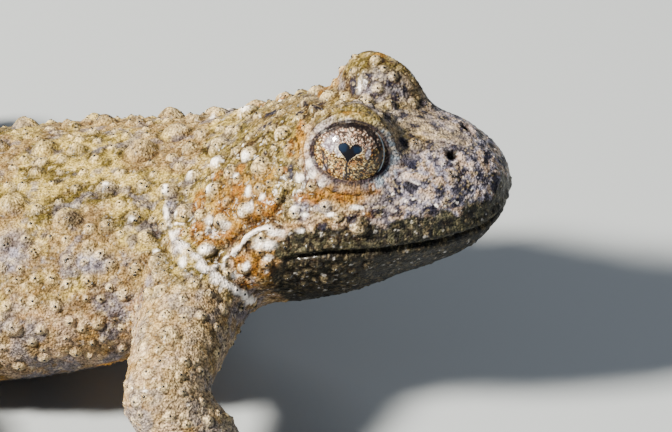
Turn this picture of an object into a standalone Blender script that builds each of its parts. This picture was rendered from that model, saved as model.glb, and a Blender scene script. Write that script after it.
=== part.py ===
"""A still, life-size fire-bellied toad, sitting with its head raised and turned a little to its right.

The body is modelled whole, from lofted sections and tapered tubes fused by a voxel remesh, and is then
parted by thin cuts at the neck, the mouth line and the joints. Sizes are in millimetres, turned to
metres at the end. +X is forward along the trunk, +Y is the toad's left and +Z is up, from the floor.
"""

import math
import random

import bmesh
import bpy
from mathutils import Matrix, Quaternion, Vector
from mathutils.bvhtree import BVHTree

# Driving dimensions, in millimetres
MM = 0.001
CUT_GAP = 0.3
HEAD_TURN = math.radians(-12)
LID_TOP_PLACE = Vector((0.0, -1.5, 20.1))
EYE_CENTRE = Vector((0.05, 2.85, -2.7))
EYE_RADIUS = 2.0
EYE_GAP = 0.2
LID_RADIUS = 2.72
LID_BOWL = {"ahead": 2.9, "size": (3.15, 1.92, 2.25)}
GAZE = Vector((0.235, 0.875, 0.423)).normalized()
NOSTRIL = Vector((5.3, 1.4, -2.75))
NOSTRIL_SIZE = (0.34, 0.24, 0.55)
NOSTRIL_FACING = Vector((0.35, 0.6, 0.72))
JAW_CORNER = {"place": (-4.3, 5.5, -8.7), "size": (2.3, 2.2, 2.5)}

# Head sections: place ahead of the lid tops, half width, level of the widest point, top and bottom
HEAD_SECTIONS = (
    (8.20, 0.35, -5.6, -5.2, -6.0),
    (8.05, 1.45, -5.7, -4.5, -6.9),
    (7.60, 2.40, -5.9, -3.85, -7.8),
    (6.60, 3.50, -6.1, -3.1, -8.9),
    (5.00, 4.65, -6.4, -2.45, -9.8),
    (3.00, 5.50, -6.7, -2.0, -10.9),
    (0.50, 6.45, -7.0, -1.6, -12.4),
    (-2.50, 6.90, -7.6, -2.1, -13.7),
    (-5.50, 6.95, -8.4, -3.6, -14.3),
    (-8.50, 6.70, -9.6, -5.7, -14.6),
    (-9.60, 3.00, -10.0, -8.5, -12.0),
)
HEAD_ROUND = (1.85, 2.3)

# Trunk sections: place along the floor, half width, level of the widest point, top and bottom
TRUNK_SECTIONS = (
    (-2.8, 2.0, 10.3, 11.5, 9.0),
    (-3.8, 5.0, 10.0, 13.2, 6.8),
    (-7.0, 7.3, 9.4, 14.5, 4.8),
    (-10.5, 8.3, 8.2, 13.4, 3.2),
    (-15.0, 9.2, 7.0, 12.5, 1.8),
    (-20.0, 9.6, 6.0, 11.6, 0.7),
    (-25.0, 9.1, 5.2, 10.8, -0.3),
    (-30.0, 7.5, 4.9, 9.8, -0.4),
    (-34.5, 5.4, 4.8, 8.4, 0.5),
    (-37.5, 3.4, 4.8, 6.9, 2.4),
    (-38.8, 0.8, 4.8, 5.3, 4.3),
)
TRUNK_ROUND = (2.1, 2.5)

# Limbs: joint places for the right side, then the left. The left arm is held closer in
ARMS = {
    "right": (Vector((-8.9, -6.0, 8.9)), Vector((-9.8, -15.0, 7.5)), Vector((-5.0, -16.4, 1.9))),
    "left": (Vector((-8.9, 6.0, 8.4)), Vector((-10.0, 12.9, 4.9)), Vector((-4.0, 14.4, 1.8))),
}
ARM_RADII = ((3.4, 2.7, 2.2), (2.2, 2.3, 1.35))
LEGS = {
    "right": (
        Vector((-34.3, -3.8, 5.2)),
        Vector((-23.9, -17.6, 4.6)),
        Vector((-40.2, -13.4, 2.3)),
        Vector((-35.2, -20.6, 1.4)),
    ),
    "left": (
        Vector((-34.3, 3.8, 5.2)),
        Vector((-28.8, 16.8, 4.3)),
        Vector((-42.0, 12.4, 2.3)),
        Vector((-38.2, 20.2, 1.4)),
    ),
}
LEG_RADII = ((3.5, 3.1, 2.5), (2.5, 2.4, 1.5), (1.5, 1.4, 1.45))
PALM = {"size": (2.1, 1.75, 0.95), "ahead": 1.5, "level": 0.65}
KNUCKLES = {"ahead": 0.7, "spread": 0.6}
FINGERS = ((-52, 3.1), (-18, 3.9), (14, 4.6), (46, 3.6))
FINGER_RADII = (0.8, 0.62, 0.55)
HAND_HEADING = {"right": math.radians(8), "left": math.radians(-14)}
TOES = ((46, 5.4), (26, 7.6), (7, 9.8), (-11, 11.6), (-32, 8.4))
TOE_RADII = (0.85, 0.68, 0.55)
TOE_LEVEL = 0.38
SOLE = {"size": (2.4, 1.6, 1.0), "level": 0.7}
FOOT_HEADING = {"right": math.radians(-18), "left": math.radians(22)}
WEB_REACH = 0.72
WEB_SCALLOP = 0.52
WEB_THICKNESS = 0.6

# Cuts: where along each limb its root is cut, how large each cut is and how far it runs out from a joint
ARM_ROOT_CUT = 0.55
THIGH_ROOT_CUT = 0.62
ARM_ROOT_SIZE = (7.6, 7.6, CUT_GAP)
THIGH_ROOT_SIZE = (9.0, 7.6, CUT_GAP)
WRIST_CUT = 0.14
INSTEP_CUT = 0.24
END_BLOCK = (16.0, 12.0, 9.0)
FLOOR_BLOCK = (90.0, 90.0, 10.0)
CUT_HALF_WIDTH = 12.0
ELBOW_CUT = {"behind": 3.6, "ahead": 3.6, "wide": 7.0}
KNEE_CUT = {"behind": 4.0, "ahead": 9.5, "wide": 8.0}
ANKLE_CUT = {"behind": 2.8, "ahead": 6.0, "wide": 5.0}
MOUTH_PROFILE = (
    (10.0, -6.4),
    (6.0, -6.65),
    (3.0, -7.0),
    (0.0, -7.2),
    (-1.8, -7.7),
    (-2.8, -9.2),
    (-3.1, -11.5),
    (-3.2, -16.0),
)
NECK_PROFILE = (
    (-11.4, 16.0),
    (-10.3, 13.6),
    (-8.5, 11.4),
    (-7.2, 9.2),
    (-6.6, 6.5),
    (-6.4, 2.0),
)

# Mesh fineness
SHARP_ANGLE = math.radians(38)
SECTION_SIDES = 40
SECTION_STEPS = 5
EYE_FINENESS = 3
BODY_MESH = {"voxel": 0.42, "smoothing": 7, "kept": 0.107}
HAND_MESH = {"voxel": 0.26, "smoothing": 4, "kept": 0.12}

# Warts: how many, their radii and how far they stand out, as shares of the radius
WART_SEED = 11
WART_RISE = 0.62
WART_SIDES = 6
TRUNK_WARTS = (50, 0.52, 1.0)
HEAD_WARTS = (16, 0.42, 0.62)
LIMB_WARTS = (6, 0.42, 0.62)
WART_SPACING = 1.25

# The line of sight to the right side along which the chief warts are placed
SIGHT_TURN = math.radians(6)
SIGHT_RAISED = math.radians(36)
SIGHT_DISTANCE = 206.0
SIGHT_MIDDLE = (-1.64, -7.44)

# The chief warts: millimetres to the right of and above the lid tops in that view, then the radius
CHIEF_WARTS = (
    (-12.3, -5.8, 0.55),
    (-10.9, -6.0, 0.60),
    (-9.5, -5.2, 0.50),
    (-10.0, -7.2, 0.62),
    (-8.4, -6.0, 0.60),
    (-8.2, -4.5, 0.60),
    (-6.5, -4.0, 0.55),
    (-8.0, -7.7, 0.50),
    (-8.8, -9.3, 0.50),
    (-11.5, -9.9, 0.65),
    (-12.8, -7.5, 0.50),
    (-12.1, -8.6, 0.50),
    (-14.3, -8.0, 0.50),
    (-16.5, -7.6, 0.85),
    (-14.3, -5.9, 0.70),
    (-17.7, -3.7, 0.80),
    (-5.8, -4.7, 0.70),
    (-9.7, -3.7, 0.55),
    (-8.1, -1.8, 0.60),
    (-6.7, -7.1, 0.50),
    (-15.3, -9.1, 0.45),
    (-18.3, -9.4, 0.45),
    (-16.4, -9.9, 0.45),
    (-14.1, -10.2, 0.45),
    (-12.7, -10.4, 0.45),
    (-15.3, -11.0, 0.45),
    (-17.3, -11.0, 0.45),
    (-13.3, -11.7, 0.45),
    (-11.4, -11.5, 0.50),
    (4.8, -5.2, 0.45),
)

COLOURS = {
    "warty_skin": (0.36, 0.29, 0.17),
    "jaw_skin": (0.21, 0.18, 0.12),
    "limb_skin": (0.40, 0.32, 0.19),
    "iris": (0.45, 0.30, 0.10),
}
ROUGHNESS = {"warty_skin": 0.42, "jaw_skin": 0.35, "limb_skin": 0.45, "iris": 0.12}


def clear_scene():
    for obj in list(bpy.data.objects):
        bpy.data.objects.remove(obj)


def make_collection(name, hidden=False):
    collection = bpy.data.collections.new(name)
    collection.hide_render = hidden
    bpy.context.scene.collection.children.link(collection)
    return collection


def make_material(name):
    material = bpy.data.materials.new(name)
    material.use_nodes = True
    shader = material.node_tree.nodes["Principled BSDF"]
    shader.inputs["Base Color"].default_value = (*COLOURS[name], 1)
    shader.inputs["Roughness"].default_value = ROUGHNESS[name]
    shader.inputs["Metallic"].default_value = 0
    material.diffuse_color = (*COLOURS[name], 1)
    return material


def add_object(name, mesh, collection):
    obj = bpy.data.objects.new(name, mesh)
    collection.objects.link(obj)
    return obj


def evaluated_mesh(obj):
    """The object's mesh with its modifiers applied, in world space."""
    bpy.context.view_layer.update()
    graph = bpy.context.evaluated_depsgraph_get()
    mesh = bpy.data.meshes.new_from_object(obj.evaluated_get(graph))
    mesh.transform(obj.matrix_world)
    return mesh


def head_place(point, side=1):
    """A point given ahead, sideways and up from midway between the lid tops, as a place in the world.

    side is -1 for the toad's right, 1 for its left."""
    turned = Vector((point[0], point[1] * side, point[2]))
    turned.rotate(Quaternion((0, 0, 1), HEAD_TURN))
    return LID_TOP_PLACE + turned


def head_direction(direction, side=1):
    return head_place(direction, side) - LID_TOP_PLACE


def smooth_rows(rows, steps):
    """Rows of numbers with a Catmull-Rom curve through each column."""
    found = []
    for i in range(len(rows) - 1):
        around = [rows[min(max(i + k, 0), len(rows) - 1)] for k in (-1, 0, 1, 2)]
        for step in range(steps):
            found.append(tuple(curve_value(column, step / steps) for column in zip(*around)))
    found.append(rows[-1])
    return found


def curve_value(values, t):
    """The Catmull-Rom value between the second and third of four values."""
    a, b, c, d = values
    squared = 2 * a - 5 * b + 4 * c - d
    cubed = 3 * b - a - 3 * c + d
    return 0.5 * (2 * b + (c - a) * t + squared * t * t + cubed * t**3)


def section_point(row, angle, rounding):
    """A point of a body section: ahead, sideways and up. Angle 0 is the left side, a quarter turn the top."""
    ahead, half_width, level, top, bottom = row
    upper = math.sin(angle) >= 0
    power = 2 / (rounding[0] if upper else rounding[1])
    height = (top - level) if upper else (level - bottom)
    sideways = half_width * math.copysign(abs(math.cos(angle)) ** power, math.cos(angle))
    upwards = height * math.copysign(abs(math.sin(angle)) ** power, math.sin(angle))
    return Vector((ahead, sideways, level + upwards))


def loft(name, sections, rounding, place, collection):
    """A closed body through the sections, its points moved to the world by place."""
    mesh = bmesh.new()
    rings = []
    for row in smooth_rows(sections, SECTION_STEPS):
        angles = [2 * math.pi * k / SECTION_SIDES for k in range(SECTION_SIDES)]
        rings.append([mesh.verts.new(place(section_point(row, a, rounding))) for a in angles])
    for one, two in zip(rings, rings[1:]):
        for k in range(SECTION_SIDES):
            following = (k + 1) % SECTION_SIDES
            mesh.faces.new((one[k], one[following], two[following], two[k]))
    mesh.faces.new(rings[0][::-1])
    mesh.faces.new(rings[-1])
    bmesh.ops.recalc_face_normals(mesh, faces=mesh.faces)
    data = bpy.data.meshes.new(name)
    mesh.to_mesh(data)
    mesh.free()
    return add_object(name, data, collection)


def tube(name, points, radii, collection, sides_level=2, per_span=6):
    """A tapered tube with round ends through the points, as a closed mesh."""
    rows = smooth_rows([(*p, r) for p, r in zip(points, radii)], per_span)
    first, last = Vector(rows[0][:3]), Vector(rows[-1][:3])
    start = (first - Vector(rows[1][:3])).normalized()
    end = (last - Vector(rows[-2][:3])).normalized()
    cap = ((0.5, 0.86), (0.86, 0.5))
    head_rows = [(*(first + start * rows[0][3] * a), rows[0][3] * r) for a, r in reversed(cap)]
    tail_rows = [(*(last + end * rows[-1][3] * a), rows[-1][3] * r) for a, r in cap]
    rows = head_rows + rows + tail_rows
    curve = bpy.data.curves.new(name, "CURVE")
    curve.dimensions = "3D"
    curve.bevel_depth = 1.0
    curve.bevel_resolution = sides_level
    curve.use_fill_caps = True
    spline = curve.splines.new("POLY")
    spline.points.add(len(rows) - 1)
    for point, row in zip(spline.points, rows):
        point.co = (*row[:3], 1)
        point.radius = row[3]
    return closed_mesh(add_object(name, curve, collection))


def closed_mesh(curve_object):
    """The curve as a mesh object with its caps welded on. The curve is removed."""
    name, collection = curve_object.name, curve_object.users_collection[0]
    data = evaluated_mesh(curve_object)
    bpy.data.objects.remove(curve_object)
    mesh = bmesh.new()
    mesh.from_mesh(data)
    bmesh.ops.remove_doubles(mesh, verts=mesh.verts, dist=0.001)
    bmesh.ops.recalc_face_normals(mesh, faces=mesh.faces)
    mesh.to_mesh(data)
    mesh.free()
    return add_object(name, data, collection)


def ellipsoid(name, centre, size, collection, turn=None, fineness=2):
    """An icosphere stretched to three radii, turned and placed."""
    mesh = bmesh.new()
    bmesh.ops.create_icosphere(mesh, subdivisions=fineness, radius=1.0)
    turn = turn or Matrix.Identity(3)
    matrix = Matrix.Translation(centre) @ turn.to_4x4() @ Matrix.Diagonal((*size, 1))
    bmesh.ops.transform(mesh, matrix=matrix, verts=mesh.verts)
    data = bpy.data.meshes.new(name)
    mesh.to_mesh(data)
    mesh.free()
    return add_object(name, data, collection)


def slab(name, centre, normal, along, size, collection):
    """A thin box with its thickness along the normal. size is the extents along, across and through."""
    normal = normal.normalized()
    along = (along - normal * along.dot(normal)).normalized()
    turn = Matrix((along, normal.cross(along), normal)).transposed()
    mesh = bmesh.new()
    bmesh.ops.create_cube(mesh, size=1.0)
    matrix = Matrix.Translation(centre) @ turn.to_4x4() @ Matrix.Diagonal((*size, 1))
    bmesh.ops.transform(mesh, matrix=matrix, verts=mesh.verts)
    data = bpy.data.meshes.new(name)
    mesh.to_mesh(data)
    mesh.free()
    return add_object(name, data, collection)


def boolean(obj, others, operation, solver="EXACT"):
    """Applies one Boolean with every object in the collection others, and removes them."""
    modifier = obj.modifiers.new("join", "BOOLEAN")
    modifier.operation = operation
    modifier.operand_type = "COLLECTION"
    modifier.collection = others
    modifier.solver = solver
    data = evaluated_mesh(obj)
    obj.modifiers.clear()
    obj.matrix_world = Matrix.Identity(4)
    obj.data = data
    for other in list(others.objects):
        bpy.data.objects.remove(other)
    bpy.data.collections.remove(others)


def helper_collection(objects):
    collection = make_collection("helpers", hidden=True)
    for obj in objects:
        for old in obj.users_collection:
            old.objects.unlink(obj)
        collection.objects.link(obj)
    return collection


def loose_pieces(data):
    """Each connected surface of the mesh as a mesh of its own, the largest first."""
    source = bmesh.new()
    source.from_mesh(data)
    source.verts.ensure_lookup_table()
    group_of, sizes = {}, []
    for start in source.verts:
        if start.index in group_of:
            continue
        group_of[start.index] = len(sizes)
        queue, size = [start], 1
        while queue:
            for edge in queue.pop().link_edges:
                for vert in edge.verts:
                    if vert.index not in group_of:
                        group_of[vert.index] = len(sizes)
                        queue.append(vert)
                        size += 1
        sizes.append(size)
    source.free()
    found = []
    for group in sorted(range(len(sizes)), key=lambda g: -sizes[g]):
        piece = bmesh.new()
        piece.from_mesh(data)
        others = [v for v in piece.verts if group_of[v.index] != group]
        bmesh.ops.delete(piece, geom=others, context="VERTS")
        piece_data = bpy.data.meshes.new("piece")
        piece.to_mesh(piece_data)
        piece.free()
        found.append(piece_data)
    return found


def limb_tubes(collection):
    """The fleshy tubes of the arms and legs, without hands and toes."""
    made = []
    for side, joints in ARMS.items():
        for k, radii in enumerate(ARM_RADII):
            ends = (joints[k], joints[k].lerp(joints[k + 1], 0.5), joints[k + 1])
            made.append(tube(f"arm_{side}_{k}", ends, radii, collection))
    for side, joints in LEGS.items():
        for k, radii in enumerate(LEG_RADII):
            ends = (joints[k], joints[k].lerp(joints[k + 1], 0.5), joints[k + 1])
            made.append(tube(f"leg_{side}_{k}", ends, radii, collection))
    return made


def fused(name, parts, fineness, collection):
    """One smooth closed body from overlapping closed pieces, which are removed."""
    mesh = bmesh.new()
    for part in parts:
        mesh.from_mesh(part.data)
        bpy.data.objects.remove(part)
    data = bpy.data.meshes.new(name)
    mesh.to_mesh(data)
    mesh.free()
    body = add_object(name, data, collection)
    remesh = body.modifiers.new("fuse", "REMESH")
    remesh.mode = "VOXEL"
    remesh.voxel_size = fineness["voxel"]
    smooth = body.modifiers.new("soften", "SMOOTH")
    smooth.factor = 0.5
    smooth.iterations = fineness["smoothing"]
    fewer = body.modifiers.new("thin_out", "DECIMATE")
    fewer.ratio = fineness["kept"]
    data = evaluated_mesh(body)
    body.modifiers.clear()
    body.data = loose_pieces(data)[0]
    return body


def flesh(collection):
    """Head, trunk and limbs fused into one smooth closed mesh."""
    parts = [
        loft("head_form", HEAD_SECTIONS, HEAD_ROUND, head_place, collection),
        loft("trunk_form", TRUNK_SECTIONS, TRUNK_ROUND, Vector, collection),
    ]
    for side, sign in (("left", 1), ("right", -1)):
        eye = head_place(EYE_CENTRE, sign)
        parts.append(ellipsoid(f"lid_{side}", eye, (LID_RADIUS,) * 3, collection, fineness=3))
        jaw_corner = head_place(JAW_CORNER["place"], sign)
        turn = Matrix.Rotation(HEAD_TURN + sign * 0.12, 3, "Z")
        parts.append(ellipsoid(f"jaw_corner_{side}", jaw_corner, JAW_CORNER["size"], collection, turn))
    return fused("flesh", parts + limb_tubes(collection), BODY_MESH, collection)


def unit(towards, origin):
    return (towards - origin).normalized()


def joint_cut(name, joint, one, two, reach, collection):
    """A slab through a joint, in the plane that halves the angle of the two lengths that meet there."""
    first, second = unit(one, joint), unit(two, joint)
    halfway = (first + second).normalized()
    centre = joint + halfway * (reach["ahead"] - reach["behind"]) / 2
    size = (reach["ahead"] + reach["behind"], reach["wide"], CUT_GAP)
    return slab(name, centre, first - second, halfway, size, collection)


def ribbon_cut(name, profile, place, half_width, collection):
    """A thin wall that follows a profile seen from the side and runs right across the body."""
    points = smooth_rows(profile, 4)
    mesh = bmesh.new()
    rails = []
    for i, (ahead, up) in enumerate(points):
        before, after = points[max(i - 1, 0)], points[min(i + 1, len(points) - 1)]
        along = Vector((after[0] - before[0], after[1] - before[1])).normalized()
        across = Vector((-along.y, along.x)) * CUT_GAP / 2
        for sign in (1, -1):
            middle = Vector((ahead, up)) + across * sign
            ends = [place((middle.x, width, middle.y)) for width in (-half_width, half_width)]
            rails.append([mesh.verts.new(end) for end in ends])
    for i in range(0, len(rails) - 2, 2):
        upper, lower, next_upper, next_lower = rails[i : i + 4]
        mesh.faces.new((upper[0], upper[1], next_upper[1], next_upper[0]))
        mesh.faces.new((lower[0], next_lower[0], next_lower[1], lower[1]))
        for end in (0, 1):
            mesh.faces.new((upper[end], next_upper[end], next_lower[end], lower[end]))
    mesh.faces.new((rails[0][0], rails[0][1], rails[1][1], rails[1][0]))
    mesh.faces.new((rails[-1][0], rails[-1][1], rails[-2][1], rails[-2][0]))
    bmesh.ops.recalc_face_normals(mesh, faces=mesh.faces)
    data = bpy.data.meshes.new(name)
    mesh.to_mesh(data)
    mesh.free()
    return add_object(name, data, collection)


def floor_block(collection):
    """The space below the floor, which trims what rests on it to small flats at one level."""
    middle = Vector((-15, 0, -FLOOR_BLOCK[2] / 2))
    return slab("floor", middle, Vector((0, 0, 1)), Vector((1, 0, 0)), FLOOR_BLOCK, collection)


def cutters(collection):
    """Every thin cut that parts the body, and the block that trims it level with the floor."""
    up = Vector((0, 0, 1))
    made = [
        floor_block(collection),
        ribbon_cut("mouth_cut", MOUTH_PROFILE, head_place, CUT_HALF_WIDTH, collection),
        ribbon_cut("neck_cut", NECK_PROFILE, Vector, CUT_HALF_WIDTH, collection),
    ]
    for side, (shoulder, elbow, wrist) in ARMS.items():
        root = shoulder.lerp(elbow, ARM_ROOT_CUT)
        made.append(slab(f"shoulder_{side}", root, elbow - shoulder, up, ARM_ROOT_SIZE, collection))
        made.append(joint_cut(f"elbow_{side}", elbow, shoulder, wrist, ELBOW_CUT, collection))
    for side, (hip, knee, ankle, foot) in LEGS.items():
        root = hip.lerp(knee, THIGH_ROOT_CUT)
        made.append(slab(f"hip_{side}", root, knee - hip, up, THIGH_ROOT_SIZE, collection))
        made.append(joint_cut(f"knee_{side}", knee, hip, ankle, KNEE_CUT, collection))
        made.append(joint_cut(f"ankle_{side}", ankle, knee, foot, ANKLE_CUT, collection))
    return made


def node_markers():
    """A point well inside each fleshy node."""
    markers = {
        "head": head_place((1.0, 0, -4.5)),
        "lower_jaw": head_place((2.0, 0, -9.5)),
        "torso": Vector((-20, 0, 6)),
    }
    for side, (shoulder, elbow, wrist) in ARMS.items():
        markers[f"upper_arm_{side}"] = shoulder.lerp(elbow, 0.75)
        markers[f"forearm_{side}"] = elbow.lerp(wrist, 0.5)
    for side, (hip, knee, ankle, foot) in LEGS.items():
        markers[f"thigh_{side}"] = hip.lerp(knee, 0.75)
        markers[f"shank_{side}"] = knee.lerp(ankle, 0.5)
        markers[f"tarsus_{side}"] = ankle.lerp(foot, 0.6)
    return markers


def centre_of(data):
    total = Vector()
    for vert in data.vertices:
        total += vert.co
    return total / len(data.vertices)


def part_body(body, collection):
    """Cuts the body into its nodes, each named for the marker that lies nearest its middle."""
    boolean(body, helper_collection(cutters(collection)), "DIFFERENCE")
    markers = node_markers()
    nodes = {}
    for data in loose_pieces(body.data)[: len(markers)]:
        centre = centre_of(data)
        name = min(markers, key=lambda n: (markers[n] - centre).length)
        del markers[name]
        nodes[name] = add_object(name, data, collection)
    bpy.data.objects.remove(body)
    return nodes


def facing(direction):
    """A turn whose third axis points along the direction and whose first axis is level."""
    third = direction.normalized()
    first = Vector((0, 0, 1)).cross(third).normalized()
    return Matrix((first, third.cross(first), third)).transposed()


def open_eyes(head, collection):
    """Cuts each socket, the bowl between the lids and each nostril, and returns the two eyeballs."""
    tools = []
    eyes = {}
    for side, sign in (("left", 1), ("right", -1)):
        centre = head_place(EYE_CENTRE, sign)
        gaze = head_direction(GAZE, sign).normalized()
        turn = facing(gaze)
        socket = (EYE_RADIUS + EYE_GAP,) * 3
        tools.append(ellipsoid(f"socket_{side}", centre, socket, collection, turn, EYE_FINENESS))
        bowl = centre + gaze * LID_BOWL["ahead"]
        tools.append(ellipsoid(f"opening_{side}", bowl, LID_BOWL["size"], collection, turn, EYE_FINENESS))
        nostril_turn = facing(head_direction(NOSTRIL_FACING, sign))
        nostril = head_place(NOSTRIL, sign)
        tools.append(ellipsoid(f"nostril_{side}", nostril, NOSTRIL_SIZE, collection, nostril_turn, 1))
        eyes[f"eye_{side}"] = ellipsoid(f"eye_{side}", centre, (EYE_RADIUS,) * 3, collection, turn, EYE_FINENESS)
    boolean(head, helper_collection(tools), "DIFFERENCE")
    head.data = loose_pieces(head.data)[0]
    return eyes


def digit_path(root, heading, angle, length, level, drop):
    """Points of a finger or toe that runs out from its root and comes down to the floor level."""
    way = Vector((math.cos(heading + angle), math.sin(heading + angle), 0))
    return [
        root + way * length * share + Vector((0, 0, (level - root.z) * fall))
        for share, fall in ((0.0, 0.0), (0.45, drop), (1.0, 1.0))
    ]


def make_hand(side, collection):
    wrist = ARMS[side][2]
    mirror = 1 if side == "right" else -1
    heading = HAND_HEADING[side]
    way = Vector((math.cos(heading), math.sin(heading), 0))
    palm_centre = wrist + way * PALM["ahead"]
    palm_centre.z = PALM["level"]
    turn = Matrix.Rotation(heading, 3, "Z")
    pieces = [
        ellipsoid(f"palm_{side}", palm_centre, PALM["size"], collection, turn, fineness=2),
        tube(f"wrist_{side}", (wrist.lerp(ARMS[side][1], 0.12), palm_centre), (1.25, 0.9), collection, 1, 3),
    ]
    for k, (angle, length) in enumerate(FINGERS):
        spread = math.radians(angle) * mirror * -1
        across = math.sin(spread) * PALM["size"][1] * KNUCKLES["spread"]
        root = palm_centre + way * KNUCKLES["ahead"] + Vector((-way.y, way.x, 0)) * across
        path = digit_path(root, heading, spread, length, TOE_LEVEL, 0.4)
        pieces.append(tube(f"finger_{side}_{k}", path, FINGER_RADII, collection, 0, 2))
    return joined(f"hand_{side}", pieces, collection)


def web_outline(root, heading, mirror):
    """The outline of the foot's web: out along each toe, with a scallop between each two."""
    def reach(angle, length):
        turned = heading + math.radians(angle) * mirror
        return root + Vector((math.cos(turned), math.sin(turned), 0)) * length

    outline = [root]
    for k, (angle, length) in enumerate(TOES):
        outline.append(reach(angle, length * WEB_REACH))
        if k + 1 < len(TOES):
            other_angle, other_length = TOES[k + 1]
            middle = (length + other_length) / 2 * WEB_SCALLOP
            outline.append(reach((angle + other_angle) / 2, middle))
    return outline


def make_web(side, root, mirror, collection):
    """The thin membrane between the toes, an extruded flat outline."""
    curve = bpy.data.curves.new(f"web_{side}", "CURVE")
    curve.dimensions = "2D"
    curve.fill_mode = "BOTH"
    curve.extrude = WEB_THICKNESS / 2
    outline = web_outline(Vector((root.x, root.y, 0)), FOOT_HEADING[side], mirror)
    spline = curve.splines.new("POLY")
    spline.points.add(len(outline) - 1)
    for point, place in zip(spline.points, outline):
        point.co = (place.x, place.y, 0, 1)
    spline.use_cyclic_u = True
    web = add_object(f"web_{side}", curve, collection)
    web.location.z = WEB_THICKNESS / 2
    return closed_mesh(web)


def make_foot(side, collection):
    ankle, base = LEGS[side][2], LEGS[side][3]
    mirror = 1 if side == "right" else -1
    root = Vector((base.x, base.y, SOLE["level"]))
    heading = FOOT_HEADING[side]
    turn = Matrix.Rotation(heading, 3, "Z")
    pieces = [
        make_web(side, root, mirror, collection),
        ellipsoid(f"sole_{side}", root, SOLE["size"], collection, turn, fineness=2),
        tube(f"instep_{side}", (base.lerp(ankle, 0.2), root), (1.3, 1.0), collection, 1, 3),
    ]
    for k, (angle, length) in enumerate(TOES):
        spread = math.radians(angle) * mirror
        path = digit_path(root, heading, spread, length, TOE_LEVEL, 0.6)
        pieces.append(tube(f"toe_{side}_{k}", path, TOE_RADII, collection, 0, 2))
    return joined(f"foot_{side}", pieces, collection)


def joined(name, pieces, collection):
    """One closed body from the pieces, trimmed level with the floor."""
    base = fused(name, pieces, HAND_MESH, collection)
    boolean(base, helper_collection([floor_block(collection)]), "DIFFERENCE")
    base.data = loose_pieces(base.data)[0]
    return base


def trim_ends(nodes, collection):
    """Shortens each forearm and tarsus so that the hand and foot meet it face to face."""
    for side in ARMS:
        wrist, elbow = ARMS[side][2], ARMS[side][1]
        cut = wrist.lerp(elbow, WRIST_CUT)
        trim_between(nodes[f"forearm_{side}"], nodes[f"hand_{side}"], cut, elbow - wrist, collection)
    for side in LEGS:
        base, ankle = LEGS[side][3], LEGS[side][2]
        cut = base.lerp(ankle, INSTEP_CUT)
        trim_between(nodes[f"tarsus_{side}"], nodes[f"foot_{side}"], cut, ankle - base, collection)


def trim_between(near, far, centre, normal, collection):
    """Cuts two overlapping nodes back from one plane, half the gap each."""
    normal = normal.normalized()
    for node, sign in ((near, -1), (far, 1)):
        middle = centre + normal * sign * (END_BLOCK[2] - CUT_GAP) / 2
        block = slab("trim", middle, normal, Vector((0, 0, 1)), END_BLOCK, collection)
        boolean(node, helper_collection([block]), "DIFFERENCE")
        node.data = loose_pieces(node.data)[0]


def seen_place(across, up, trees):
    """(node, place) where a line of sight through a point beside the lid tops first meets the body."""
    back = Vector((math.sin(SIGHT_TURN), -math.cos(SIGHT_TURN), math.tan(SIGHT_RAISED))).normalized()
    right = Vector((math.cos(SIGHT_TURN), math.sin(SIGHT_TURN), 0))
    raised = back.cross(right)
    middle = LID_TOP_PLACE + right * SIGHT_MIDDLE[0] + raised * SIGHT_MIDDLE[1]
    viewer = middle + back * SIGHT_DISTANCE
    way = LID_TOP_PLACE + right * across + raised * up - viewer
    hits = [(tree.ray_cast(viewer, way), name) for name, tree in trees.items()]
    met = [(hit[3], hit[0], name) for hit, name in hits if hit[0] is not None]
    _, place, name = min(met, key=lambda found: found[0])
    return name, place


def wart_anchors(trees):
    """(node, place, radius) for each wart, spread over the back, head and limbs."""
    draw = random.Random(WART_SEED)
    found = []

    def try_wart(node, place, radius):
        if all((place - p).length > WART_SPACING * (radius + r) for _, p, r in found):
            found.append((node, place, radius))

    for across, up, radius in CHIEF_WARTS:
        found.append((*seen_place(across, up, trees), radius))
    rows = smooth_rows(TRUNK_SECTIONS, SECTION_STEPS)
    count, small, large = TRUNK_WARTS
    kept = len(found) + count
    for _ in range(count * 4):
        row = rows[draw.randrange(10, len(rows) - 6)]
        angle = math.radians(draw.uniform(4, 176))
        radius = draw.uniform(small, large)
        if len(found) < kept:
            try_wart("torso", section_point(row, angle, TRUNK_ROUND), radius)
    rows = smooth_rows(HEAD_SECTIONS, SECTION_STEPS)
    count, small, large = HEAD_WARTS
    kept = len(found) + count
    for _ in range(count * 5):
        row = rows[draw.randrange(24, len(rows) - 8)]
        angle = math.radians(draw.uniform(8, 172))
        radius = draw.uniform(small, large)
        if len(found) < kept:
            try_wart("head", head_place(section_point(row, angle, HEAD_ROUND)), radius)
    count, small, large = LIMB_WARTS
    lengths = [(f"upper_arm_{s}", ARMS[s][0], ARMS[s][1], 2.3) for s in ARMS]
    lengths += [(f"thigh_{s}", LEGS[s][0], LEGS[s][1], 3.0) for s in LEGS]
    lengths += [(f"shank_{s}", LEGS[s][1], LEGS[s][2], 2.2) for s in LEGS]
    for node, start, end, thickness in lengths:
        for _ in range(count):
            lean = math.radians(draw.uniform(-55, 55))
            across = unit(end, start).cross(Vector((0, 0, 1))).normalized()
            out = Vector((0, 0, 1)) * math.cos(lean) + across * math.sin(lean)
            place = start.lerp(end, draw.uniform(0.55, 0.85)) + out * thickness
            try_wart(node, place, draw.uniform(small, large))
    return found


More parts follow.
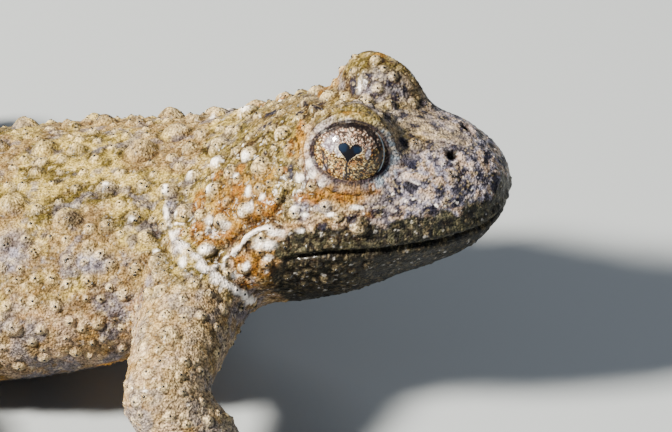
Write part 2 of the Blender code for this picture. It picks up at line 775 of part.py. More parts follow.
def wart(name, place, normal, radius, collection):
    """A low dome with its foot sunk in the skin: a ring below, a ring part way up and a tip."""
    turn = normal.to_track_quat("Z", "Y")
    profile = ((-0.45, 1.0), (0.0, 1.0), (WART_RISE * 0.72, 0.62))
    mesh = bmesh.new()
    rings = []
    for height, width in profile:
        ring = []
        for k in range(WART_SIDES):
            angle = 2 * math.pi * k / WART_SIDES
            local = Vector((math.cos(angle) * width, math.sin(angle) * width, height)) * radius
            ring.append(mesh.verts.new(place + turn @ local))
        rings.append(ring)
    for one, two in zip(rings, rings[1:]):
        for k in range(WART_SIDES):
            following = (k + 1) % WART_SIDES
            mesh.faces.new((one[k], one[following], two[following], two[k]))
    tip = mesh.verts.new(place + turn @ Vector((0, 0, radius * WART_RISE)))
    for k in range(WART_SIDES):
        mesh.faces.new((rings[-1][k], rings[-1][(k + 1) % WART_SIDES], tip))
    mesh.faces.new(rings[0][::-1])
    data = bpy.data.meshes.new(name)
    mesh.to_mesh(data)
    mesh.free()
    return add_object(name, data, collection)


def surface_tree(obj):
    mesh = bmesh.new()
    mesh.from_mesh(obj.data)
    tree = BVHTree.FromBMesh(mesh)
    mesh.free()
    return tree


def add_warts(nodes, collection):
    """Fuses each wart to its node, where it stays clear of every other node and of the lid openings."""
    trees = {name: surface_tree(obj) for name, obj in nodes.items()}
    domes = {}
    for k, (name, anchor, radius) in enumerate(wart_anchors(trees)):
        place, normal, _, _ = trees[name].find_nearest(anchor)
        others = [trees[n].find_nearest(place)[3] for n in trees if n != name]
        if normal.z < -0.25 or min(others) < radius * 1.15 + CUT_GAP:
            continue
        domes.setdefault(name, []).append(wart(f"wart_{k}", place, normal, radius, collection))
    for name, made in domes.items():
        boolean(nodes[name], helper_collection(made), "UNION", "MANIFOLD")
        nodes[name].data = loose_pieces(nodes[name].data)[0]


def covering(name):
    """The name of the material that covers a node."""
    if name.startswith("eye"):
        return "iris"
    return {"head": "warty_skin", "torso": "warty_skin", "lower_jaw": "jaw_skin"}.get(name, "limb_skin")


def finish(nodes, materials):
    """Gives each node its material and moves the whole to metres, centred over the floor point."""
    corners = [v.co for obj in nodes.values() for v in obj.data.vertices]
    low = Vector(min(c[k] for c in corners) for k in range(3))
    high = Vector(max(c[k] for c in corners) for k in range(3))
    middle = (low + high) / 2
    place = Matrix.Scale(MM, 4) @ Matrix.Translation((-middle.x, -middle.y, 0))
    for name, obj in nodes.items():
        obj.data.transform(place)
        obj.data.name = name
        obj.data.materials.clear()
        obj.data.materials.append(materials[covering(name)])
        obj.data.shade_smooth()
        obj.data.set_sharp_from_angle(angle=SHARP_ANGLE)


def main():
    clear_scene()
    toad = make_collection("fire_bellied_toad")
    materials = {name: make_material(name) for name in COLOURS}
    body = flesh(toad)
    nodes = part_body(body, toad)
    nodes.update(open_eyes(nodes["head"], toad))
    for side in ARMS:
        nodes[f"hand_{side}"] = make_hand(side, toad)
        nodes[f"foot_{side}"] = make_foot(side, toad)
    trim_ends(nodes, toad)
    add_warts(nodes, toad)
    finish(nodes, materials)


main()
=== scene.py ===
"""The looks of the fire-bellied toad: one skin over the fleshy parts, two eyeballs and the wart spines.

Sizes are in millimetres in the part's own axes, turned to metres in the frame's axes at the end.
"""

import math
import random
from itertools import product

import bmesh
import bpy
import numpy as np
from mathutils import Matrix, Quaternion, Vector
from mathutils.bvhtree import BVHTree
from mathutils.kdtree import KDTree


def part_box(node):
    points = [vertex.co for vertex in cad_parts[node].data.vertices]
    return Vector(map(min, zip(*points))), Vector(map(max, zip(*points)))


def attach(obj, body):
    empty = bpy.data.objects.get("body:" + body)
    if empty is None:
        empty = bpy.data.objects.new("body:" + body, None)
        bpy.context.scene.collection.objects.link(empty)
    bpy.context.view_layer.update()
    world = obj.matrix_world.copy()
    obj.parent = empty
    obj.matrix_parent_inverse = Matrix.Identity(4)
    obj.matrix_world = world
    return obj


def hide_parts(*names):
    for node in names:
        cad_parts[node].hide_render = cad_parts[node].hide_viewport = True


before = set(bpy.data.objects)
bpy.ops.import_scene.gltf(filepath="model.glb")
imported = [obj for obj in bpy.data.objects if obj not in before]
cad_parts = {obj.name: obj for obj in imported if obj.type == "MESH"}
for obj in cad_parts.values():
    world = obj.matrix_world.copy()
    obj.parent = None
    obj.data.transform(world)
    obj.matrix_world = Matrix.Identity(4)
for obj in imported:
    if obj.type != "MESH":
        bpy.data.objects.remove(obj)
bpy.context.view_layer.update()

# Driving dimensions are in millimetres, MM in metres. FAR is beyond every distance between parts of the toad
MM = 0.001
FAR = 99.0

# The head: from midway between the lid tops, a point lies ahead, sideways and up
HEAD_TURN = math.radians(-12)
LID_TOP_PLACE = Vector((0.0, -1.5, 20.1))
EYE_CENTRE = Vector((0.05, 2.85, -2.7))
GAZE = Vector((0.235, 0.875, 0.423)).normalized()
BALL_RADIUS = 2.32
BALL_SET_BACK = 0.27
NOSTRIL = Vector((5.5, 1.4, -2.7))
NOSTRIL_SHAPE = {"way": (0.75, 0.1, 0.65), "long": 1.5, "width": 1.12, "depth": 0.4, "rim": 0.08}
JAW_CORNER = {"place": (-4.3, 5.5, -8.7), "size": (2.3, 2.2, 2.5), "turn": 0.12}

# The lids: how far their opening reaches each way, their rounded rim, and the skin tucked under the ball
OPENING = {"ahead": 2.02, "behind": 2.04, "above": 1.74, "below": 1.45, "round": 2.05, "slant": 1.65}
LID_RADIUS = 2.72
LID_REACH = LID_RADIUS + 1.6
LID_PAINT_REACH = LID_RADIUS + 0.9
LID_GAP = 0.03
LID_RIM = 0.2
LID_TOP = LID_GAP + LID_RIM
LID_FRONT = -0.2
LID_TUCK = 0.5
TUCK_START = -0.16
LID_SLOPE = (2.2, 3.0)
LID_WIDTH = 1.25

# The photo's camera: turned round the toad's right side, raised, and how far from the lid tops
CAMERA_TURN = math.radians(6)
CAMERA_RAISED = math.radians(36)
CAMERA_DISTANCE = 206.0
CAMERA_MIDDLE = (-1.64, -7.44)
LENS = 200.0
SENSOR = 36.0
PICTURE = (672, 432)

# Head sections: place ahead of the lid tops, half width, level of the widest point, top and bottom
HEAD_SECTIONS = (
    (8.20, 0.35, -5.6, -5.2, -6.0),
    (8.05, 1.45, -5.7, -4.5, -6.9),
    (7.60, 2.40, -5.9, -3.85, -7.8),
    (6.60, 3.50, -6.1, -3.1, -8.9),
    (5.00, 4.65, -6.4, -2.45, -9.8),
    (3.00, 5.50, -6.7, -2.0, -10.9),
    (0.50, 6.45, -7.0, -1.6, -12.4),
    (-2.50, 6.90, -7.6, -2.1, -13.7),
    (-5.50, 6.95, -8.4, -3.6, -14.3),
    (-8.50, 6.70, -9.6, -5.7, -14.6),
    (-9.60, 3.00, -10.0, -8.5, -12.0),
)
HEAD_ROUND = (1.85, 2.3)

# Trunk sections: place along the floor, half width, level of the widest point, top and bottom
TRUNK_SECTIONS = (
    (-2.8, 2.0, 10.3, 11.5, 9.0),
    (-3.8, 5.0, 10.0, 13.2, 6.8),
    (-7.0, 7.3, 9.4, 14.5, 4.8),
    (-10.5, 8.3, 8.2, 13.4, 3.2),
    (-15.0, 9.2, 7.0, 12.5, 1.8),
    (-20.0, 9.6, 6.0, 11.6, 0.7),
    (-25.0, 9.1, 5.2, 10.8, -0.3),
    (-30.0, 7.5, 4.9, 9.8, -0.4),
    (-34.5, 5.4, 4.8, 8.4, 0.5),
    (-37.5, 3.4, 4.8, 6.9, 2.4),
    (-38.8, 0.8, 4.8, 5.3, 4.3),
)
TRUNK_ROUND = (2.1, 2.5)

# Limbs: joint places from the trunk outwards, and the radii of each length between two joints
ARMS = {
    "right": ((-8.9, -6.0, 8.9), (-9.8, -15.0, 7.5), (-5.0, -16.4, 1.9)),
    "left": ((-8.9, 6.0, 8.4), (-10.0, 12.9, 4.9), (-4.0, 14.4, 1.8)),
}
LEGS = {
    "right": ((-34.3, -3.8, 5.2), (-23.9, -17.6, 4.6), (-40.2, -13.4, 2.3), (-35.2, -20.6, 1.4)),
    "left": ((-34.3, 3.8, 5.2), (-28.8, 16.8, 4.3), (-42.0, 12.4, 2.3), (-38.2, 20.2, 1.4)),
}
for limbs in (ARMS, LEGS):
    limbs.update({side: [Vector(joint) for joint in joints] for side, joints in limbs.items()})
ARM_RADII = ((3.4, 2.7, 2.2), (2.2, 2.3, 1.35))
LEG_RADII = ((3.5, 3.1, 2.5), (2.5, 2.4, 1.5), (1.5, 1.4, 1.45))

# Hands and feet: digits as angle and length, and the web's reach along the toes and between them
PALM = {"size": (2.1, 1.75, 0.95), "ahead": 1.5, "level": 0.65, "wrist_radii": (1.25, 0.9)}
KNUCKLES = {"ahead": 0.7, "spread": 0.6}
FINGERS = ((-52, 3.1), (-18, 3.9), (14, 4.6), (46, 3.6))
FINGER_RADII = (0.8, 0.62, 0.55)
FINGER_DROP = 0.4
HAND_HEADING = {"right": math.radians(8), "left": math.radians(-14)}
TOES = ((46, 5.4), (26, 7.6), (7, 9.8), (-11, 11.6), (-32, 8.4))
TOE_RADII = (0.85, 0.68, 0.55)
TOE_DROP = 0.6
TOE_LEVEL = 0.38
SOLE = {"size": (2.4, 1.6, 1.0), "level": 0.7, "ankle_radii": (1.3, 1.0)}
FOOT_HEADING = {"right": math.radians(-18), "left": math.radians(22)}
WEB_REACH = 0.72
WEB_SCALLOP = 0.52
WEB_THICKNESS = 0.6

# Mesh fineness
SECTION_SIDES = 48
SECTION_STEPS = 5
BODY_VOXEL = 0.3
BODY_SMOOTHING = 12
SKIN_VOXEL = 0.2
SKIN_SMOOTHING = 6
EYE_RINGS = 150
EYE_SIDES = 260

# Line of the mouth, ahead and up from the lid tops, and its lips: how far off the line, half width and rise
MOUTH_LINE = ((10.0, -6.4), (6.0, -6.65), (3.0, -7.0), (0.0, -7.2), (-1.8, -7.7), (-2.4, -8.1))
MOUTH_DEPTH = 0.34
MOUTH_HALF_WIDTH = 0.13
LIPS = {"upper": (0.42, 0.28, 0.13), "lower": (0.4, 0.26, 0.091)}
MOUTH_BACK = (-2.7, -1.4)
MOUTH_END = -2.6

# The chief warts: millimetres to the right of and above the lid tops in the camera's view, then the radius
CHIEF_WARTS = (
    (-12.3, -5.8, 0.55), (-10.9, -6.0, 0.6), (-9.5, -5.2, 0.5), (-10.0, -7.2, 0.62),
    (-8.4, -6.0, 0.6), (-8.2, -4.5, 0.6), (-6.5, -4.0, 0.55), (-8.0, -7.7, 0.5),
    (-8.8, -9.3, 0.5), (-11.5, -9.9, 0.65), (-12.8, -7.5, 0.5), (-12.1, -8.6, 0.5),
    (-14.3, -8.0, 0.5), (-16.5, -7.6, 0.85), (-14.3, -5.9, 0.7), (-17.7, -3.7, 0.8),
    (-5.8, -4.7, 0.7), (-9.7, -3.7, 0.55), (-8.1, -1.8, 0.6), (-6.7, -7.1, 0.5),
    (-15.3, -9.1, 0.45), (-18.3, -9.4, 0.45), (-16.4, -9.9, 0.45), (-14.1, -10.2, 0.45),
    (-12.7, -10.4, 0.45), (-15.3, -11.0, 0.45), (-17.3, -11.0, 0.45), (-13.3, -11.7, 0.45),
    (-11.4, -11.5, 0.5), (4.8, -5.2, 0.45),
)
WART_SEED = 11
WART_SPACING = 1.25

# Scattered warts: how many, their radius, tries for each, and the section rows and degrees left free of them
TRUNK_WARTS = {"count": 50, "radius": (0.52, 1.0), "tries": 4, "free_rows": (10, 6), "free_degrees": 4}
HEAD_WARTS = {"count": 16, "radius": (0.42, 0.62), "tries": 5, "free_rows": (24, 8), "free_degrees": 8}
LIMB_WARTS = {"count": 6, "radius": (0.42, 0.62), "lean": 55, "along": (0.55, 0.85)}
LIMB_HALF_WIDTHS = (2.3, 3.0, 2.2)
WART_CLEARANCE = (0.45, 0.3)

# Small warts and granules, how clear they stay of eyes, mouth and nostrils, and the lowest that they stand
SMALL_WARTS = {
    "count": 950, "radius": (0.22, 0.42), "spacing": 1.3, "seed": 5,
    "from_eye": 0.75, "from_mouth": 0.5, "nostril": 0.02, "lowest": 1.6,
}
GRANULES = {
    "count": 3600, "radius": (0.10, 0.19), "spacing": 1.1, "seed": 6,
    "from_eye": 0.4, "from_mouth": 0.25, "nostril": 0.2, "lowest": 0.9,
}
WART_RISE = {"wart": 0.62, "small_wart": 0.6, "granule": 0.42}
LOWEST_NORMAL = -0.35
SNOUT_START = 2.4

# Spines: radii on large warts, small warts and granules, and their profile as height and width in radii
SPINE_RADII = {"wart": (0.055, 0.085), "small_wart": (0.065, 0.095), "granule": (0.03, 0.05)}
SPINES_PER_WART = (2, 6)
SPINED_GRANULES = 0.22
SPINE_PROFILE = ((-0.6, 1.0), (0.12, 0.95), (0.4, 0.55))
SPINE_TIP = 0.5
SPINE_SIDES = 6

# Folds: picture points along each, half width and rise in millimetres. A fold that rises is a ridge, which
# gets a broken pale line as a painted highlight; a groove is painted dark as shade
FOLDS = (
    (((164, 200), (168, 222), (175, 244), (190, 264)), 0.22, 0.18),
    (((172, 240), (203, 268), (226, 285), (246, 297), (255, 301)), 0.35, 0.20),
    (((172, 223), (190, 225)), 0.14, 0.20),
    (((206, 271), (221, 262)), 0.17, 0.20),
    (((150, 200), (153, 222), (163, 252), (190, 281), (226, 303)), 0.22, -0.16),
    (((222, 272), (225, 258), (241, 247), (246, 237), (258, 229), (268, 227), (283, 234)), 0.17, 0.22),
    (((214, 266), (218, 252), (233, 240), (248, 224), (268, 219), (288, 228)), 0.27, -0.30),
    (((289, 184), (284, 196), (272, 217)), 0.16, -0.30),
    (((309, 128), (318, 117), (328, 111), (344, 109), (362, 112)), 0.10, -0.18),
    (((306, 133), (300, 150), (299, 168), (304, 182)), 0.10, -0.14),
    (((350, 181), (364, 183), (376, 178), (386, 168)), 0.10, -0.16),
    (((318, 188), (336, 195), (356, 197), (376, 191), (390, 178)), 0.12, -0.12),
    (((0, 262), (40, 283), (88, 312), (130, 330)), 0.35, -0.16),
)

# Patches of colour on the near side: the share of each that is full, then their picture points, half widths
# and half heights in pixels
PIXELS_PER_MM = 18.1
PATCHES = {
    "rust": (0.5, (
        (268, 207, 15, 14), (252, 222, 16, 11), (233, 237, 18, 10), (206, 240, 16, 9), (196, 232, 9, 14),
        (199, 200, 9, 15), (222, 208, 10, 12), (237, 192, 9, 16), (216, 176, 16, 6), (240, 168, 8, 8),
        (262, 268, 15, 12), (240, 262, 10, 14), (248, 285, 14, 7), (222, 238, 10, 8), (300, 128, 5, 14),
        (290, 148, 4, 12), (316, 197, 15, 8), (345, 197, 17, 6), (374, 190, 11, 5), (182, 213, 7, 6),
        (300, 197, 8, 6), (283, 170, 6, 5), (180, 232, 6, 6), (372, 214, 10, 4),
    )),
    "golden": (0.4, (
        (235, 205, 52, 38), (262, 175, 24, 14), (302, 138, 12, 28), (338, 196, 42, 11), (262, 262, 24, 22),
        (350, 112, 16, 5),
    )),
    "greyish": (0.4, (
        (376, 86, 24, 22), (396, 88, 22, 20), (402, 112, 20, 8), (460, 178, 26, 26), (394, 150, 7, 22),
        (301, 208, 10, 16), (171, 206, 7, 26), (176, 246, 6, 14), (12, 250, 20, 30), (90, 262, 24, 14),
        (150, 280, 14, 10), (420, 152, 16, 12), (470, 168, 12, 16), (322, 206, 12, 8),
    )),
    # Pale patches are partly white skin and partly painted highlights and wet sheen
    "pale_and_highlight": (0.25, (
        (190, 177, 5, 5), (210, 191, 8, 5), (217, 163, 8, 6), (248, 190, 4, 8), (249, 206, 5, 7),
        (242, 213, 5, 5), (208, 219, 5, 6), (225, 225, 7, 5), (205, 250, 11, 6), (246, 157, 9, 5),
        (247, 265, 4, 6), (268, 257, 6, 4), (233, 275, 4, 4), (266, 271, 3, 3), (299, 177, 6, 5),
        (235, 175, 4, 4), (262, 196, 5, 4), (294, 208, 6, 4), (304, 214, 5, 3), (281, 233, 5, 4),
        (258, 240, 8, 4), (319, 130, 5, 9), (313, 142, 4, 6), (307, 162, 4, 6), (311, 175, 5, 5),
        (320, 184, 6, 3), (412, 181, 9, 5), (424, 196, 8, 4), (398, 201, 6, 4), (440, 162, 5, 3),
        (390, 209, 5, 4), (330, 214, 6, 3), (355, 207, 6, 3), (359, 86, 2, 9), (264, 244, 14, 7),
        (272, 232, 9, 4), (196, 257, 6, 5), (214, 281, 8, 4), (234, 289, 9, 5), (185, 247, 5, 6),
        (176, 233, 4, 6), (166, 190, 4, 8), (246, 302, 8, 4), (345, 116, 13, 3), (420, 133, 9, 3),
        (443, 139, 8, 2), (470, 166, 3, 6), (476, 182, 6, 4), (462, 158, 3, 5), (182, 262, 5, 7),
        (132, 220, 4, 3), (107, 188, 4, 3), (300, 230, 5, 3), (176, 214, 3, 3), (155, 250, 4, 3),
    )),
    # Dusky patches are partly dark markings and partly painted shade, on the snout's front and lower side
    # and the far eye bump's shaded side
    "dusky_and_shade": (0.8, (
        (262, 127, 10, 4), (275, 112, 6, 3), (211, 145, 7, 4), (264, 153, 8, 2), (107, 194, 9, 6),
        (74, 221, 12, 8), (28, 243, 8, 5), (58, 180, 8, 4), (160, 256, 6, 4), (394, 97, 8, 5),
        (353, 84, 3, 10), (374, 95, 5, 4), (388, 83, 7, 4), (367, 75, 5, 3), (404, 88, 3, 6),
        (402, 117, 5, 3), (388, 114, 4, 4), (424, 111, 4, 3), (290, 172, 3, 9), (402, 141, 5, 5),
        (430, 147, 5, 6), (414, 164, 6, 5), (391, 172, 5, 5), (425, 181, 5, 3), (400, 190, 5, 7),
        (440, 190, 5, 8), (461, 170, 5, 6), (455, 150, 6, 3), (422, 196, 4, 3), (466, 186, 5, 5),
        (396, 212, 8, 5), (452, 202, 10, 6), (430, 210, 9, 5), (376, 212, 7, 5), (350, 218, 6, 5),
        (322, 226, 6, 5), (478, 172, 4, 5), (486, 158, 3, 9), (462, 130, 5, 3), (442, 118, 6, 3),
        (414, 125, 6, 3), (494, 182, 4, 12), (300, 112, 5, 4), (236, 252, 4, 4), (318, 108, 5, 3),
        (209, 231, 4, 3),
    )),
}

# The eye's markings, ahead and up from its middle: dark lines with their half widths, the wide arc along the
# top a painted lid shadow, then silver spots, partly painted glare, with their half widths and half heights,
# and the lobes of the heart-shaped pupil
EYE_LINES_AND_SHADOW = (
    (((-1.44, -0.02), (-1.36, -0.6), (-0.98, -1.28)), 0.055),
    (((-1.33, -0.15), (-1.10, -0.5), (-1.08, -1.2)), 0.035),
    (((-0.55, -0.3), (-0.8, -0.7), (-0.72, -1.4)), 0.025),
    (((1.20, 1.08), (1.68, 0.35), (1.78, -0.44), (1.50, -1.05), (0.83, -1.45)), 0.06),
    (((1.28, 0.45), (1.36, -0.2), (1.18, -0.9)), 0.025),
    # Painted lid shadow along the top of the eye
    (((-1.35, 1.15), (-0.7, 1.52), (0.0, 1.64), (0.7, 1.52), (1.25, 1.12)), 0.15),
    (((-0.06, -0.45), (-0.03, -0.9), (0.02, -1.5)), 0.07),
    (((0.12, -0.75), (0.16, -1.5)), 0.05),
)
# Silver spots: silver of the iris and painted glare
EYE_SILVER_AND_GLARE = (
    (-1.08, 0.34, 0.42, 0.42), (-0.66, 0.12, 0.30, 0.24), (1.02, 0.22, 0.14, 0.32),
    (-1.20, -0.92, 0.20, 0.26), (-0.16, -1.25, 0.03, 0.25), (-0.95, 0.80, 0.30, 0.22),
)
LOBE = {"aside": 0.335, "up": 0.40, "height": 0.27}

# What is marked at each point of the skin, from 0 to 1, the last two from -1
MASKS = (
    "wart", "small_wart", "granule", "moat_shade", "fine_moat_shade", "groove_shade", "fold",
    "lid_edge_shadow", "lid_band", "lid_crease_shade", "lid_ahead", "lid_up",
)

# Where parts of the skin begin and are whole: on the head by the lid tops, on the body by the part's axes
HEAD_AHEAD = (-9.5, -6.5)
HEAD_SIDEWAYS = (9.2, 8.4)
NEAR_HEAD = (-14.0, -8.0)
SNOUT_AHEAD = (1.0, 3.5)
SNOUT_SIDE = (-2.0, -3.2)
HEAD_LOW = (-2.0, -4.5)
SMOOTH_SNOUT = (0.5, 4.0)
JAW_AHEAD = (-3.8, -2.2)
JAW_ABOVE = (2.9, 0.4)
JAW_TOP = -4.0
WET_AHEAD = (-10.0, -7.5)
LIMB_SIDEWAYS = (8.6, 10.2)
LEG_BEHIND = (-18.0, -22.0)
BELLY_TOP = 9

# Skin colours, as light reflected
OLIVE = (0.085, 0.062, 0.012)
YELLOWISH = (0.41, 0.30, 0.078)
TAN = (0.25, 0.155, 0.068)
PINKISH = (0.41, 0.28, 0.185)
LAVENDER = (0.155, 0.14, 0.17)
OCHRE = (0.25, 0.125, 0.014)
CREAM = (0.80, 0.62, 0.34)
# White, for pale skin and for painted highlights and glints
WHITE_AND_HIGHLIGHT = (1.0, 0.95, 0.90)
GOLD = (0.34, 0.165, 0.014)
RUSTY = (0.19, 0.072, 0.008)
# Slate, for dark markings and for painted shade
SLATE_AND_SHADE = (0.013, 0.013, 0.026)
# Brown, for dark blotches and spots and for painted shade in moats, grooves and the lid crease
BROWN_AND_SHADE = (0.022, 0.010, 0.004)
# The jaw side is painted dark as shade, with olive and pale specks
JAW_SHADE = (0.003, 0.003, 0.002)
JAW_OLIVE = (0.030, 0.029, 0.015)
JAW_PALE = (0.080, 0.074, 0.040)
LILAC = (0.235, 0.225, 0.295)
PALE_PINK = (0.78, 0.62, 0.54)
BELLY_YELLOW = (0.72, 0.33, 0.02)
BELLY_DARK = (0.025, 0.032, 0.05)
# Lid colours by direction round the eye, darkest below; the blue-grey ahead is a painted wet reflection
LID_COLOURS_AND_REFLECTION = {
    "below": (0.11, 0.09, 0.095),
    "above": (0.42, 0.33, 0.13),
    "behind": (0.52, 0.44, 0.43),
    "ahead": (0.20, 0.26, 0.32),
}
# A thin painted shadow along the lids' edge
LID_EDGE_SHADOW = (0.02, 0.014, 0.02)
# Painted shade inside the nostrils
NOSTRIL_SHADE = (0.004, 0.003, 0.003)
SPINE_COLOUR = (0.006, 0.005, 0.005)
FLOOR_COLOUR = (0.30, 0.325, 0.35)

# Eye colours
IRIS = (0.50, 0.27, 0.065)
IRIS_LIGHT = (1.0, 0.78, 0.38)
IRIS_RUST = (0.32, 0.11, 0.03)
IRIS_TOP = (0.42, 0.25, 0.17)
IRIS_TOP_LIGHT = (0.88, 0.72, 0.60)
# Silver of the iris and painted glare
SILVER_AND_GLARE = (0.26, 0.23, 0.29)
SILVER_AND_GLARE_LIGHT = (0.90, 0.88, 0.95)
NET = (0.012, 0.007, 0.006)
# Dark lines, and the painted lid shadow
LINE_AND_SHADOW_COLOUR = (0.010, 0.007, 0.008)
PUPIL_RIM = (0.85, 0.74, 0.52)
PUPIL = (0.004, 0.004, 0.006)
# A painted reflection of the sky in the pupil's lobes
PUPIL_SKY_REFLECTION = (0.004, 0.012, 0.030)
# A painted shadow round the ball's rim
EYE_RIM_SHADOW = (0.010, 0.008, 0.010)
EYE_GLINT = (0.50, 0.62, 0.70)
EYE_BACK = (0.02, 0.018, 0.02)

# Shaders, and the grain that they add to the skin: its noise, its range, and its pebbles
SKIN_SHINE = {
    "Roughness": 0.5,
    "Coat Roughness": 0.2,
    "Specular IOR Level": 0.06,
    "Subsurface Weight": 0.05,
    "Subsurface Radius": (0.0008, 0.0004, 0.0002),
}
EYE_SHINE = {"Roughness": 0.5, "Coat Weight": 0.6, "Coat Roughness": 0.02, "Specular IOR Level": 0.05}
FINE_GRAIN = {"Scale": 9.0, "Detail": 3.0}
GRAIN_RANGE = {"From Min": 0.36, "From Max": 0.64, "To Min": -0.62, "To Max": 0.5}
PEBBLES = {"Scale": 6.5}
PEBBLE_HEIGHT = -0.8
BUMP = {"Strength": 0.8, "Distance": 0.1 * MM}

# The studio, in metres and watts: each light's direction, distance, size, power and colour
LIGHTS = (
    ("key", (-0.85, -0.42, 0.95), 0.5, 0.08, 14.6, (1.0, 0.93, 0.80)),
    ("fill", (1.0, -0.8, 0.5), 0.6, 0.3, 0.5, (0.8, 0.9, 1.0)),
    ("back", (0.4, 1.0, 0.9), 0.6, 0.3, 1.0, (0.9, 0.95, 1.0)),
)
SKY = {"Color": (0.82, 0.9, 1.0, 1), "Strength": 0.2}
FLOOR_HALF_SIZE = 3.0


def add_object(name, data):
    obj = bpy.data.objects.new(name, data)
    bpy.context.scene.collection.objects.link(obj)
    return obj


def evaluated_mesh(obj):
    bpy.context.view_layer.update()
    graph = bpy.context.evaluated_depsgraph_get()
    mesh = bpy.data.meshes.new_from_object(obj.evaluated_get(graph))
    mesh.transform(obj.matrix_world)
    return mesh


def head_place(point, side=1):
    """A point given ahead, sideways and up from midway between the lid tops, as a place in the world."""
    turned = Vector((point[0], point[1] * side, point[2]))
    turned.rotate(Quaternion((0, 0, 1), HEAD_TURN))
    return LID_TOP_PLACE + turned


def head_direction(direction, side=1):
    return head_place(direction, side) - LID_TOP_PLACE


def in_head(points):
    """World points as ahead, sideways and up from midway between the lid tops."""
    moved = points - np.array(LID_TOP_PLACE)
    c, s = math.cos(HEAD_TURN), math.sin(HEAD_TURN)
    ahead = moved[:, 0] * c + moved[:, 1] * s
    sideways = -moved[:, 0] * s + moved[:, 1] * c
    return np.stack((ahead, sideways, moved[:, 2]), axis=1)


def across_head(point):
    """The mirror place of a point on the other side of the head."""
    found = in_head(np.array([point]))[0]
    return head_place((found[0], -found[1], found[2]))


# Camera


def camera_axes():
    back = Vector((math.sin(CAMERA_TURN), -math.cos(CAMERA_TURN), math.tan(CAMERA_RAISED)))
    right = Vector((math.cos(CAMERA_TURN), math.sin(CAMERA_TURN), 0))
    back.normalize()
    return right, back.cross(right), back


def camera_place():
    right, up, back = camera_axes()
    middle = LID_TOP_PLACE + right * CAMERA_MIDDLE[0] + up * CAMERA_MIDDLE[1]
    return middle + back * CAMERA_DISTANCE


def sight_of_pixel(pixel):
    """The direction from the camera through a point of the picture."""
    right, up, back = camera_axes()
    across = (pixel[0] + 0.5 - PICTURE[0] / 2) / PICTURE[0] * SENSOR / LENS
    raised = (PICTURE[1] / 2 - pixel[1] - 0.5) / PICTURE[0] * SENSOR / LENS
    return (right * across + up * raised - back).normalized()


def sight_of_offset(across, up_by):
    """The direction from the camera through a point beside the lid tops."""
    right, up, _ = camera_axes()
    return (LID_TOP_PLACE + right * across + up * up_by - camera_place()).normalized()


def make_camera(shift):
    right, up, back = camera_axes()
    data = bpy.data.cameras.new("photo_camera")
    data.lens = LENS
    data.sensor_width = SENSOR
    data.clip_start = 0.01
    data.clip_end = 20
    camera = add_object("photo_camera", data)
    turn = Matrix((right, up, back)).transposed().to_4x4()
    turn.translation = (camera_place() + shift) * MM
    camera.matrix_world = turn
    bpy.context.scene.camera = camera


# Body forms


def smooth_rows(rows, steps):
    """Rows of numbers with a Catmull-Rom curve through each column."""
    found = []
    for i in range(len(rows) - 1):
        around = [rows[min(max(i + k, 0), len(rows) - 1)] for k in (-1, 0, 1, 2)]
        for step in range(steps):
            found.append(tuple(curve_value(column, step / steps) for column in zip(*around)))
    found.append(rows[-1])
    return found


def curve_value(values, t):
    """The Catmull-Rom value between the second and third of four values."""
    a, b, c, d = values
    squared = 2 * a - 5 * b + 4 * c - d
    cubed = 3 * b - a - 3 * c + d
    return 0.5 * (2 * b + (c - a) * t + squared * t * t + cubed * t**3)


def section_point(row, angle, rounding):
    """A point of a body section. Angle 0 is the left side, a quarter turn the top."""
    ahead, half_width, level, top, bottom = row
    upper = math.sin(angle) >= 0
    power = 2 / (rounding[0] if upper else rounding[1])
    height = (top - level) if upper else (level - bottom)
    sideways = half_width * math.copysign(abs(math.cos(angle)) ** power, math.cos(angle))
    upwards = height * math.copysign(abs(math.sin(angle)) ** power, math.sin(angle))
    return Vector((ahead, sideways, level + upwards))


def ring(mesh, sides, place_at):
    """The points of a ring, where place_at gives the place at an angle."""
    return [mesh.verts.new(place_at(2 * math.pi * k / sides)) for k in range(sides)]


def loft(mesh, sections, rounding, place):
    """Adds a closed body through the sections, its points moved to the world by place."""
    rings = []
    for row in smooth_rows(sections, SECTION_STEPS):
        rings.append(ring(mesh, SECTION_SIDES, lambda angle: place(section_point(row, angle, rounding))))
    bridge(mesh, rings)


def round_pairs(ring):
    """Each point of a ring with the one after it."""
    return zip(ring, ring[1:] + ring[:1])


def band(mesh, one, two):
    pairs = zip(round_pairs(one), round_pairs(two))
    return [mesh.faces.new((a, b, d, c)) for (a, b), (c, d) in pairs]


def fan(mesh, ring, tip):
    for a, b in round_pairs(ring):
        mesh.faces.new((a, b, tip))


def bridge(mesh, rings):
    """Faces between each two rings, and one over each end."""
    faces = [face for one, two in zip(rings, rings[1:]) for face in band(mesh, one, two)]
    faces.append(mesh.faces.new(rings[0][::-1]))
    faces.append(mesh.faces.new(rings[-1]))
    bmesh.ops.recalc_face_normals(mesh, faces=faces)


def to_data(mesh, name):
    data = bpy.data.meshes.new(name)
    mesh.to_mesh(data)
    mesh.free()
    return data


